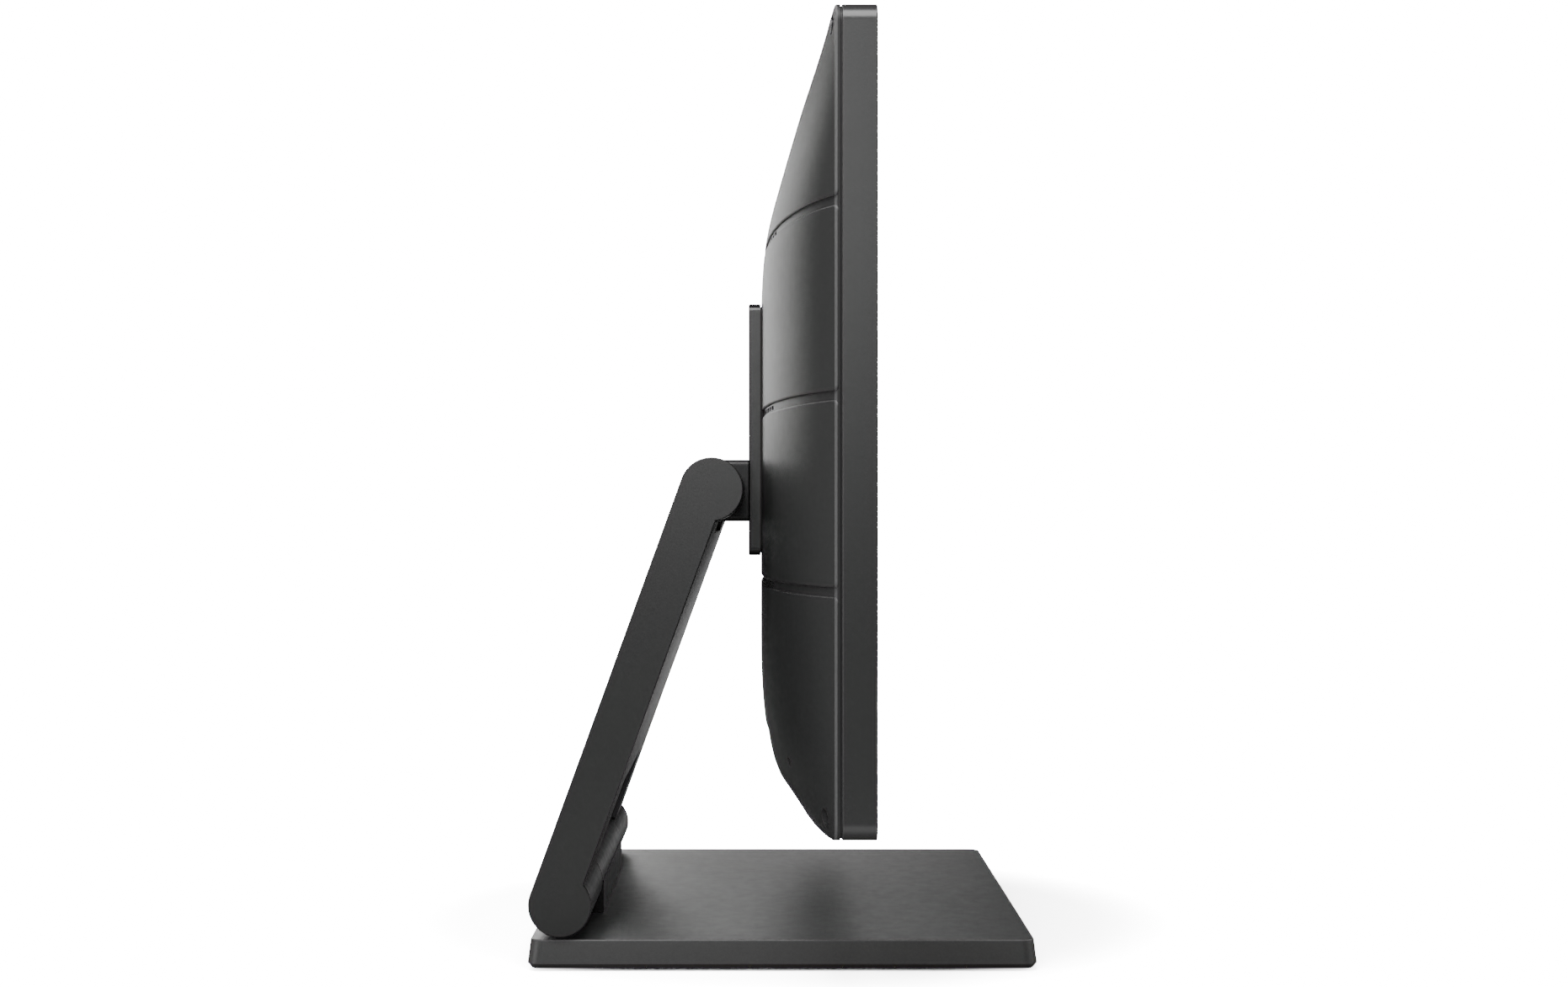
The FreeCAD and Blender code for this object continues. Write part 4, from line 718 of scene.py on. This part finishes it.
def build_rear_cover():
    b = Builder()
    xs = [0.0]
    while xs[-1] < 246:
        xs.append(xs[-1] + 6.0)
    while xs[-1] < 275:
        xs.append(xs[-1] + 3.2)
    xs = sorted({round(v, 4) for v in xs + [-v for v in xs]})
    zs = [Z0 + 9 + 5.0 * i for i in range(1, 76)]
    marks = (xs, zs)
    edge_r, gd, floor_y, bay_y = 1.0, 1.3, -25.75, -17.0
    hi, mid, lo = GROOVES
    slats = [
        [(-HW, hi + 2, 3), (HW, hi + 2, 3), (HW, Z1, 9), (-HW, Z1, 9)],
        [(-HW, mid + 2, 3), (HW, mid + 2, 3), (HW, hi - 2, 3), (-HW, hi - 2, 3)],
        [(-HW, lo + 2, 3), (HW, lo + 2, 3), (HW, mid - 2, 3), (-HW, mid - 2, 3)],
        [(-HW, Z0, 9), (-100, Z0, 1.2), (-100, 117.5, 2), (100, 117.5, 2), (100, Z0, 1.2), (HW, Z0, 9),
         (HW, lo - 2, 3), (-HW, lo - 2, 3)],
    ]
    wells = [(sx * 265.0, zc) for sx in (-1, 1) for zc in (91.4, 463.6)]
    exhaust = [rect_loop(119.0 + 6 * i, 122.0 + 6 * i, 428.0, 441.0, 1.2, 20) for i in range(16)]
    lock = rect_loop(-201.5, -194.5, 109.4, 112.6, 0.8, 20)
    vents = []
    for gz, xa, xb in ((hi, -150.0, 230.0), (mid, -150.0, -84.0), (mid, 78.0, 144.0), (lo, -150.0, 150.0)):
        x = xa
        while x < xb:
            vents.append((gz, rect_loop(x, x + 9.0, gz - 1.1, gz + 1.1, 0.9, 20, 3)))
            x += 13.0
    through = []
    rim_x, rim_z = set(), set()
    inner_depth = 4.0

    def inner_y(q):
        y = surf(*q) - inner_depth
        if abs(q[0]) < 107 and q[1] < 125:
            y = min(y, -19.5)
        return max(y, -30.4)

    loops = []
    for si, corners in enumerate(slats):
        pts, nor, kind = rounded(corners, splits=marks)
        loops.append((pts, nor))
        n = len(pts)

        def perimeter(i):
            (x0, z0), (x1, z1) = pts[i], pts[(i + 1) % n]
            if abs(x0) > HW - 1e-6 and abs(x1) > HW - 1e-6:
                return True
            if min(z0, z1) > Z1 - 9.001 or (max(z0, z1) < Z0 + 9.001 and min(abs(x0), abs(x1)) > 101.199):
                return True
            return False

        on_rim = [perimeter(i) for i in range(n)]
        for i in range(n):
            if on_rim[i]:
                for q in (pts[i], pts[(i + 1) % n]):
                    if abs(q[0]) > HW - 1e-6:
                        rim_z.add(round(q[1], 6))
                    if q[1] > Z1 - 1e-6 or q[1] < Z0 + 1e-6:
                        rim_x.add(round(q[0], 6))
        # openings in this slat
        holes = []
        zlo, zhi = min(q[1] for q in pts), max(q[1] for q in pts)
        for x, zc in wells:
            if zlo < zc < zhi:
                hp, hn, _ = circle_loop(x, zc, 4.6, 36)
                holes.append((hp, [(-a[0], -a[1]) for a in hn], 0.25, "well"))
        if si == 0:
            for e in exhaust:
                holes.append((e[0], [(-a[0], -a[1]) for a in e[1]], 0.25, "slot"))
        if si == 3:
            holes.append((lock[0], [(-a[0], -a[1]) for a in lock[1]], 0.3, "slot"))
        ring = [add2(p, m, -edge_r) for p, m in zip(pts, nor)]
        hring = [[add2(p, m, -r) for p, m in zip(hp, hn)] for hp, hn, r, _ in holes]
        inside = grid_points(xs, [z for z in zs if zlo < z < zhi], ring, hring, 1.6)
        for tri in fill(ring, hring, inside):
            b.face([(q[0], surf(*q), q[1]) for q in tri], [up(q) for q in tri])
        edge_round(b, pts, nor, edge_r, up, flat3, lambda q, low: (q[0], surf(*q) - low, q[1]), None, 4)
        for hp, hn, r, what in holes:
            edge_round(b, hp, hn, r, up, flat3, lambda q, low: (q[0], surf(*q) - low, q[1]), None, 3)
            n3 = [flat3(a) for a in hn]
            top = [(q[0], surf(*q) - r, q[1]) for q in hp]
            if what == "well":
                low = [(q[0], min(-24.0, surf(*q) - r - 0.05), q[1]) for q in hp]
                b.strip(top, low, n3, n3)
                for tri in fill(hp, [], []):
                    b.face([(q[0], min(-24.0, surf(*q) - r - 0.05), q[1]) for q in tri], (0, 1, 0))
            else:
                b.strip(top, [(q[0], inner_y(q), q[1]) for q in hp], n3, n3)
                through.append(hp)
        # the wall below the rounded edge
        for i in range(n):
            j = (i + 1) % n
            p, q = pts[i], pts[j]
            t0, t1 = (p[0], surf(*p) - edge_r, p[1]), (q[0], surf(*q) - edge_r, q[1])
            if on_rim[i]:
                y0 = y1 = floor_y
            elif si == 3 and max(p[1], q[1]) < 118 and max(abs(p[0]), abs(q[0])) < 101.3:
                if abs(p[1] - 117.5) < 1e-6 and abs(q[1] - 117.5) < 1e-6:
                    continue
                y0 = y1 = bay_y
            else:
                y0, y1 = surf(*p) - gd, surf(*q) - gd
            b.face([t0, t1, (q[0], y1, q[1]), (p[0], y0, p[1])],
                   [flat3(nor[i]), flat3(nor[j]), flat3(nor[j]), flat3(nor[i])])
    # floors of the grooves, with the vent slots
    for gi, gz in enumerate(GROOVES):
        upper = [q for q in loops[gi][0] if q[1] < gz + 5.0001]
        lower = [q for q in loops[gi + 1][0] if q[1] > gz - 5.0001]
        # upper runs left to right, lower right to left
        upper = roll_to(upper, lambda q: q[0] < -HW + 1e-6 and q[1] > gz + 4.999)
        lower = roll_to(lower, lambda q: q[0] > HW - 1e-6 and q[1] < gz - 4.999)
        outline = list(reversed(upper)) + list(reversed(lower))
        holes = [v for g, v in vents if g == gz]
        hin = [h[0] for h in holes]
        for tri in fill(outline, hin, []):
            b.face([(q[0], surf(*q) - gd, q[1]) for q in tri], [up(q) for q in tri])
        for h in holes:
            n3 = [flat3((-a[0], -a[1])) for a in h[1]]
            b.strip([(q[0], surf(*q) - gd, q[1]) for q in h[0]], [(q[0], inner_y(q), q[1]) for q in h[0]], n3, n3)
            through.append(h[0])
        for sx in (-1, 1):
            y = RIM - gd
            b.face([(sx * HW, y, gz - 5), (sx * HW, y, gz + 5), (sx * HW, floor_y, gz + 5), (sx * HW, floor_y, gz - 5)],
                   (sx, 0, 0))
    # connector bay: back wall, roof with its sockets, and the rim below
    p4 = loops[3][0]
    notch = [q for q in p4 if abs(q[0]) < 101.201 and q[1] < 117.5001]
    notch = roll_to(notch, lambda q: q[0] < -101.19)
    floor_loop = list(reversed(notch))
    bx = [x for x in xs if abs(x) < 100]
    bottom = [(x, Z0) for x in bx]
    outline = floor_loop + bottom
    for tri in fill(outline, [], []):
        b.face([(q[0], bay_y, q[1]) for q in tri], (0, 1, 0))
    row = [(-101.2, Z0)] + bottom + [(101.2, Z0)]
    for p, q in zip(row, row[1:]):
        b.face([(p[0], bay_y, Z0), (q[0], bay_y, Z0), (q[0], floor_y, Z0), (p[0], floor_y, Z0)], (0, 0, -1))
        rim_x.add(round(p[0], 6))
        rim_x.add(round(q[0], 6))
    roof_x = sorted(q[0] for q in p4 if abs(q[1] - 117.5) < 1e-6 and abs(q[0]) <= 98.001)
    roof = [(x, bay_y) for x in roof_x] + [(x, surf(x, 117.5) - edge_r) for x in reversed(roof_x)]
    conns = [(-93.0, -65.0, -15.6, 4.0), (-56.0, -38.0, -13.0, -7.0), (-30.0, -16.4, -14.0, 1.6), (-8.0, 5.6, -14.0, 1.6),
             (16.0, 32.0, -14.0, 0.0), (42.0, 50.0, -13.0, -5.0)]
    sock = [rect_loop(x0 - .15, x1 + .15, y0 - .15, y1 + .15, 0.5, 30, 3) for x0, x1, y0, y1 in conns]
    for tri in fill(roof, [h[0] for h in sock], []):
        b.face([(q[0], q[1], 117.5) for q in tri], (0, 0, -1))
    for h in sock:
        n3 = [Vector((-a[0], -a[1], 0)) for a in h[1]]
        b.strip([(q[0], q[1], 117.5) for q in h[0]], [(q[0], q[1], 119.8) for q in h[0]], n3, n3)
    # flange, lip and the inner face
    hp, hn, _ = rounded([(-HW, Z0, 9), (HW, Z0, 9), (HW, Z1, 9), (-HW, Z1, 9)],
                        splits=(sorted(rim_x), sorted(rim_z)), clear=0.001)
    n3 = [flat3(a) for a in hn]
    down = [Vector((0, -1, 0))] * len(hp)

    def row3(d, y):
        return [(q[0] - a[0] * d, y, q[1] - a[1] * d) for q, a in zip(hp, hn)]

    mid3 = [(a + Vector((0, -1, 0))).normalized() for a in n3]
    b.strip(row3(0, floor_y), row3(0.07, -25.93), n3, mid3)
    b.strip(row3(0.07, -25.93), row3(0.25, -26.0), mid3, down)
    b.strip(row3(0.25, -26.0), row3(0.9, -26.0), down, down)
    b.strip(row3(0.9, -26.0), row3(0.9, -26.76), n3, n3)
    b.strip(row3(0.9, -26.76), row3(3.3, -26.76), down, down)
    b.strip(row3(3.3, -26.76), row3(3.3, -30.6), n3, n3)
    b.strip(row3(3.3, -30.6), row3(6.2, -30.6), down, down)
    g = [(q[0] - a[0] * 6.2, q[1] - a[1] * 6.2) for q, a in zip(hp, hn)]
    back3 = [-a for a in n3]
    b.strip(row3(6.2, -30.6), [(q[0], inner_y(q), q[1]) for q in g], back3, back3)
    coarse_x = sorted({x for x in range(-264, 265, 12)} | {-110, -107, 107, 110})
    coarse_z = sorted({z for z in range(96, 466, 12)} | {125, 128})
    inside = grid_points(coarse_x, coarse_z, g, through, 2.0)
    for tri in fill(g, through, inside):
        b.face([(q[0], inner_y(q), q[1]) for q in tri], [-up(q) for q in tri])
    # the raised pad behind the mounting plate
    pp, pn, _ = rect_loop(-58.5, 58.5, 212.5, 349.5, 3.5, 300, 6)
    n3 = [flat3(a) for a in pn]
    b.strip([(q[0], 8.6, q[1]) for q in pp], [(q[0], 11.4, q[1]) for q in pp], n3, n3)
    for y, sign in ((11.4, 1), (8.6, -1)):
        for tri in fill(pp, [], []):
            b.face([(q[0], y, q[1]) for q in tri], (0, sign, 0))
    return b.make("rear_cover_shell")


def roll_to(seq, test):
    """The sequence, started at the first item that passes the test."""
    for i, q in enumerate(seq):
        if test(q):
            return seq[i:] + seq[:i]
    raise RuntimeError("an outline has no such start")


publish(build_rear_cover(), "rear_cover")

# ------------------------------------------------------------- front bezel
def build_bezel():
    b = Builder()
    zs = [Z0 + 9 + 8.0 * i for i in range(1, 47)]
    corners = [(-HW, Z0, 9), (HW, Z0, 9), (HW, Z1, 9), (-HW, Z1, 9)]
    pts, nor, _ = rounded(corners, splits=([12.0 * i for i in range(-22, 23)], zs))
    n = len(pts)
    n3 = [flat3(a) for a in nor]
    right = [abs(pts[i][0] - HW) < 1e-6 and abs(pts[(i + 1) % n][0] - HW) < 1e-6 for i in range(n)]

    def row(d, y):
        return [(q[0] - a[0] * d, y, q[1] - a[1] * d) for q, a in zip(pts, nor)]

    def ring(profile, skip=None):
        """profile: (inset, y, share of outward normal, share of y normal)"""
        for (d0, y0, c0, s0), (d1, y1, c1, s1) in zip(profile, profile[1:]):
            r0, r1 = row(d0, y0), row(d1, y1)
            m0 = [a * c0 + Vector((0, s0, 0)) for a in n3]
            m1 = [a * c1 + Vector((0, s1, 0)) for a in n3]
            for i in range(n):
                if skip and skip[i]:
                    continue
                j = (i + 1) % n
                b.face([r0[i], r0[j], r1[j], r1[i]], [m0[i], m0[j], m1[j], m1[i]])

    def arc(d_c, y_c, r, a0, a1, steps=4):
        """Points of a rounding: the angle runs from the outward normal (0) to +y (90) or -y (-90)."""
        out = []
        for k in range(steps + 1):
            a = math.radians(a0 + (a1 - a0) * k / steps)
            out.append((d_c - r * math.cos(a), y_c + r * math.sin(a), math.cos(a), math.sin(a)))
        return out

    front = arc(0.6, -42.8, 0.6, -90, 0, 5)
    rear = arc(0.8, -27.6, 0.8, 0, 90, 4)
    ring(front)
    ring([front[-1], rear[0]], right)
    ring(rear)
    ring([(0.8, -26.8, 0, 1), (2.75, -26.8, 0, 1)])
    ring([(2.75, -26.8, 0, 1), (2.93, -26.87, -.7, .7), (3.0, -27.05, -1, 0)])
    ring([(3.0, -27.05, -1, 0), (3.0, -39.4, -1, 0)], right)
    ring([(0.6, -43.4, 0, -1), (2.7, -43.4, 0, -1)])
    ring([(2.7, -43.4, 0, -1), (2.91, -43.31, -.7, -.7), (3.0, -43.1, -1, 0)])
    ring([(3.0, -43.1, -1, 0), (3.0, -41.0, -1, 0)])
    # right-hand wall with its side sockets
    side = [(150.0, 13.4, -33.0), (172.0, 13.4, -33.0), (192.0, 9.4, -33.0), (216.0, 26.0, -35.4)]
    za = Z0 + 9
    zb = Z1 - 9
    wall_z = sorted(q[1] for q in pts if abs(q[0] - HW) < 1e-6)
    holes = [rect_loop(-38.6, y1, zc - w / 2, zc + w / 2, 0.9, 30, 3) for zc, w, y1 in side]
    inv = [(h[0], [(-a[0], -a[1]) for a in h[1]]) for h in holes]
    rim = [[add2(p, m, -0.3) for p, m in zip(*h)] for h in inv]
    outline = [(-42.8, z) for z in reversed(wall_z)] + [(-27.3, z) for z in wall_z]
    for tri in fill(outline, rim, []):
        b.face([(HW, q[0], q[1]) for q in tri], (1, 0, 0))
    inner = [(-39.4, z) for z in reversed(wall_z)] + [(-27.05, z) for z in wall_z]
    for tri in fill(inner, [h[0] for h in inv], []):
        b.face([(HW - 3.0, q[0], q[1]) for q in tri], (-1, 0, 0))
    for ps, ns in inv:
        edge_round(b, ps, ns, 0.3, lambda q: (1, 0, 0), lambda m: Vector((0, m[0], m[1])),
                   lambda q, low: (HW - low, q[0], q[1]), None, 3)
        m3 = [Vector((0, a[0], a[1])) for a in ns]
        b.strip([(HW - 0.3, q[0], q[1]) for q in ps], [(HW - 3.0, q[0], q[1]) for q in ps], m3, m3)
    # the shelf that carries the glass and the grille
    shelf = [(q[0] - a[0] * 3.0, q[1] - a[1] * 3.0) for q, a in zip(pts, nor)]
    openings = [
        rect_loop(-257.0, 257.0, 156.0, 450.0, 1.5, 30, 4), rect_loop(-266.0, -132.0, 91.0, 121.0, 1.5, 30, 4),
        rect_loop(132.0, 246.0, 91.0, 121.0, 1.5, 30, 4), circle_loop(0.0, 460.5, 4.2, 28), circle_loop(257.0, 106.0, 4.0, 28),
    ]
    for y, sign in ((-41.0, -1), (-39.4, 1)):
        for tri in fill(shelf, [o[0] for o in openings], []):
            b.face([(q[0], y, q[1]) for q in tri], (0, sign, 0))
    for ps, ns, _ in openings:
        m3 = [Vector((-a[0], 0, -a[1])) for a in ns]
        b.strip([(q[0], -41.0, q[1]) for q in ps], [(q[0], -39.4, q[1]) for q in ps], m3, m3)
    return b.make("front_bezel_band")


publish(build_bezel(), "front_bezel")


# ---------------------------------------------------- glass, grille, lens
def front_plate(u, v, w):
    return (u, -w, v)


glass_loop = rounded([(-276.75, 129.0, 0.5), (276.75, 129.0, 0.5), (276.75, 468.75, 5.6), (-276.75, 468.75, 5.6)], 30.0, 10)
pane = extrude("cover_glass_pane", glass_loop, [circle_loop(0.0, 460.5, 3.3, 40)], 41.1, 43.1, front_plate, 0.4, 0.05)
publish(pane, "cover_glass")
window = extrude("camera_window", circle_loop(0.0, 460.5, 3.22, 40), [], 41.3, 43.08, front_plate, 0.1)
grille_loop = rounded([(-276.75, 85.25, 5.6), (276.75, 85.25, 5.6), (276.75, 128.5, 0.5), (-276.75, 128.5, 0.5)], 30.0, 10)
slots = [rect_loop(x, x + 3.5, 98.0, 114.0, 1.74, 30, 8) for x in [-262.0 + 8 * i for i in range(16)] + [138.0 + 8 * i for i in range(13)]]
grille = extrude("speaker_grille_panel", grille_loop, slots + [circle_loop(257.0, 106.0, 6.4, 48)], 41.1, 43.1, front_plate, 0.35, 0.3)
publish(grille, "speaker_grille")


def window_material():
    m, nt, b = new_material("camera_window")
    tc = nt.nodes.new("ShaderNodeTexCoord")
    f = noise(nt, tc.outputs["Object"], 400.0)
    nt.links.new(spread(nt, f, 0.01, 0.03), b.inputs["Roughness"])
    col = tint(nt, f, (0.93, 0.94, 0.96), (0.97, 0.97, 0.98))
    nt.links.new(col, b.inputs["Base Color"])
    b.inputs["Transmission Weight"].default_value = 1.0
    b.inputs["IOR"].default_value = 1.45
    return m


window.data.materials.append(window_material())
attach(window, "head")

# ------------------------------------------------------------ rounded CAD
for _n, _w in (
    ("arm_casting", 0.5), ("arm_front_cover", 0.35), ("base_knuckle", 0.5), ("head_knuckle", 0.5),
    ("base_rubber_feet", 0.5), ("side_sockets", 0.12), ("power_inlet", 0.25), ("rear_sockets", 0.12),
    ("mount_screws", 0.25), ("cover_screws", 0.25),
):
    refine(_n, _w)

# ----------------------------------------------------------- stage, lights
FLOOR_SEEN = 24.0
FAR_GLOW = 0.6
GAIN = 1.4


def stage_material():
    m = bpy.data.materials.new("stage")
    m.use_nodes = True
    nt = m.node_tree
    for n in list(nt.nodes):
        nt.nodes.remove(n)
    out = nt.nodes.new("ShaderNodeOutputMaterial")
    near = nt.nodes.new("ShaderNodeBsdfDiffuse")
    # painted light: the far part of the sheet glows and shows in the glancing reflections
    tc = nt.nodes.new("ShaderNodeTexCoord")
    split = nt.nodes.new("ShaderNodeSeparateXYZ")
    nt.links.new(tc.outputs["Object"], split.inputs[0])
    # painted shade: the sheet's own colour is darker close to the object, standing in for the object's shade on it
    shade = nt.nodes.new("ShaderNodeVectorMath")
    shade.operation = "LENGTH"
    nt.links.new(tc.outputs["Object"], shade.inputs[0])
    painted_shade_near = nt.nodes.new("ShaderNodeMapRange")
    painted_shade_near.interpolation_type = "SMOOTHSTEP"
    painted_shade_near.inputs["From Min"].default_value = 0.20
    painted_shade_near.inputs["From Max"].default_value = 0.38
    painted_shade_near.inputs["To Min"].default_value = 0.22
    painted_shade_near.inputs["To Max"].default_value = 0.62
    nt.links.new(shade.outputs["Value"], painted_shade_near.inputs["Value"])
    nt.links.new(painted_shade_near.outputs["Result"], near.inputs["Color"])
    # and a patch of it beside the head glows, a painted pool of light that the head's lower rounded edge reflects
    off = nt.nodes.new("ShaderNodeVectorMath")
    off.operation = "DISTANCE"
    off.inputs[1].default_value = (-0.40, -0.045, 0.0)
    nt.links.new(tc.outputs["Object"], off.inputs[0])
    painted_light_patch = nt.nodes.new("ShaderNodeMapRange")
    painted_light_patch.interpolation_type = "SMOOTHSTEP"
    painted_light_patch.inputs["From Min"].default_value = 0.05
    painted_light_patch.inputs["From Max"].default_value = 0.11
    painted_light_patch.inputs["To Min"].default_value = 0.55
    painted_light_patch.inputs["To Max"].default_value = 0.0
    nt.links.new(off.outputs["Value"], painted_light_patch.inputs["Value"])
    # painted light: the far sheet glows more with rising X
    far_painted_glow = nt.nodes.new("ShaderNodeMapRange")
    far_painted_glow.interpolation_type = "SMOOTHSTEP"
    far_painted_glow.inputs["From Min"].default_value = 0.45
    far_painted_glow.inputs["From Max"].default_value = 1.0
    far_painted_glow.inputs["To Min"].default_value = 0.0
    far_painted_glow.inputs["To Max"].default_value = FAR_GLOW
    nt.links.new(split.outputs["X"], far_painted_glow.inputs["Value"])
    # painted light: the far glow and the patch beside the head feed one emission
    far = nt.nodes.new("ShaderNodeEmission")
    lit = nt.nodes.new("ShaderNodeMath")
    lit.operation = "ADD"
    nt.links.new(far_painted_glow.outputs["Result"], lit.inputs[0])
    nt.links.new(painted_light_patch.outputs["Result"], lit.inputs[1])
    nt.links.new(lit.outputs[0], far.inputs["Strength"])
    near_far = nt.nodes.new("ShaderNodeAddShader")
    nt.links.new(near.outputs[0], near_far.inputs[0])
    nt.links.new(far.outputs[0], near_far.inputs[1])
    seen = nt.nodes.new("ShaderNodeBsdfDiffuse")
    seen.inputs["Color"].default_value = (FLOOR_SEEN, FLOOR_SEEN, FLOOR_SEEN, 1)
    # the sheet is lit more and more from below away from the object, like a studio sweep
    away = nt.nodes.new("ShaderNodeVectorMath")
    away.operation = "LENGTH"
    nt.links.new(tc.outputs["Object"], away.inputs[0])
    grow = nt.nodes.new("ShaderNodeMapRange")
    grow.interpolation_type = "SMOOTHSTEP"
    grow.inputs["From Min"].default_value = 0.175
    grow.inputs["From Max"].default_value = 0.30
    grow.inputs["To Min"].default_value = 0.0
    grow.inputs["To Max"].default_value = 22.0
    nt.links.new(away.outputs["Value"], grow.inputs["Value"])
    glow = nt.nodes.new("ShaderNodeEmission")
    nt.links.new(grow.outputs["Result"], glow.inputs["Strength"])
    both = nt.nodes.new("ShaderNodeAddShader")
    nt.links.new(seen.outputs[0], both.inputs[0])
    nt.links.new(glow.outputs[0], both.inputs[1])
    lp = nt.nodes.new("ShaderNodeLightPath")
    mix = nt.nodes.new("ShaderNodeMixShader")
    nt.links.new(lp.outputs["Is Camera Ray"], mix.inputs["Fac"])
    nt.links.new(near_far.outputs[0], mix.inputs[1])
    nt.links.new(both.outputs[0], mix.inputs[2])
    nt.links.new(mix.outputs[0], out.inputs["Surface"])
    return m


bpy.ops.mesh.primitive_plane_add(size=24, location=(0, 0, -0.0002))
floor = bpy.context.object
floor.name = "stage_floor"
floor.data.materials.append(stage_material())

world = bpy.data.worlds.new("studio")
bpy.context.scene.world = world
world.use_nodes = True
wt = world.node_tree
for _n in list(wt.nodes):
    wt.nodes.remove(_n)
w_out = wt.nodes.new("ShaderNodeOutputWorld")
w_cam = wt.nodes.new("ShaderNodeBackground")
w_cam.inputs["Color"].default_value = (1, 1, 1, 1)
w_cam.inputs["Strength"].default_value = 20.0
w_amb = wt.nodes.new("ShaderNodeBackground")
w_amb.inputs["Color"].default_value = (1, 1, 1, 1)
w_amb.inputs["Strength"].default_value = 0.03
w_lp = wt.nodes.new("ShaderNodeLightPath")
w_mix = wt.nodes.new("ShaderNodeMixShader")
wt.links.new(w_lp.outputs["Is Camera Ray"], w_mix.inputs["Fac"])
wt.links.new(w_amb.outputs[0], w_mix.inputs[1])
wt.links.new(w_cam.outputs[0], w_mix.inputs[2])
wt.links.new(w_mix.outputs[0], w_out.inputs["Surface"])


def area(name, at, look, size, power, size_y=None):
    d = bpy.data.lights.new(name, "AREA")
    d.shape = "RECTANGLE" if size_y else "SQUARE"
    d.size = size
    if size_y:
        d.size_y = size_y
    d.energy = power * GAIN
    o = bpy.data.objects.new(name, d)
    o.location = at
    o.rotation_mode = "QUATERNION"
    o.rotation_quaternion = (Vector(look) - Vector(at)).to_track_quat("-Z", "Y")
    bpy.context.scene.collection.objects.link(o)
    o.visible_camera = False
    return o


AIM = Vector((0.0, 0.0, 0.22))


def around(az, el, power, dist=2.2, size=0.6):
    """A soft box round the object: 0 is the camera's side, 90 the back of the head, 180 the far side."""
    a, e = math.radians(az), math.radians(el)
    at = AIM + Vector((-math.cos(a) * math.cos(e), math.sin(a) * math.cos(e), math.sin(e))) * dist
    return ("box_%d_%d" % (az, el), at, AIM, size, power, None)


LIGHTS = [
    around(135, 40, 5.0), around(100, 3, 0.7, 2.2, 0.5), around(165, 10, 5.75), around(270, 20, 4.1), around(4, 14, 1.8), around(2, 5, 0.35, 2.2, 0.35), around(225, 12, 1.5),
    around(180, 14, 1.1), around(135, 12, 0.14),
    around(-70, 12, 2.5), around(60, 5, 4.8, 2.2, 0.9), around(22, 30, 2.6),
    ("near_back", (-0.45, 0.25, 0.85), AIM, 0.3, 0.9, None),
    ("near_front", (-0.5, 0.0, 0.8), AIM, 0.3, 1.3, None),
]
for _l in LIGHTS:
    area(*_l)
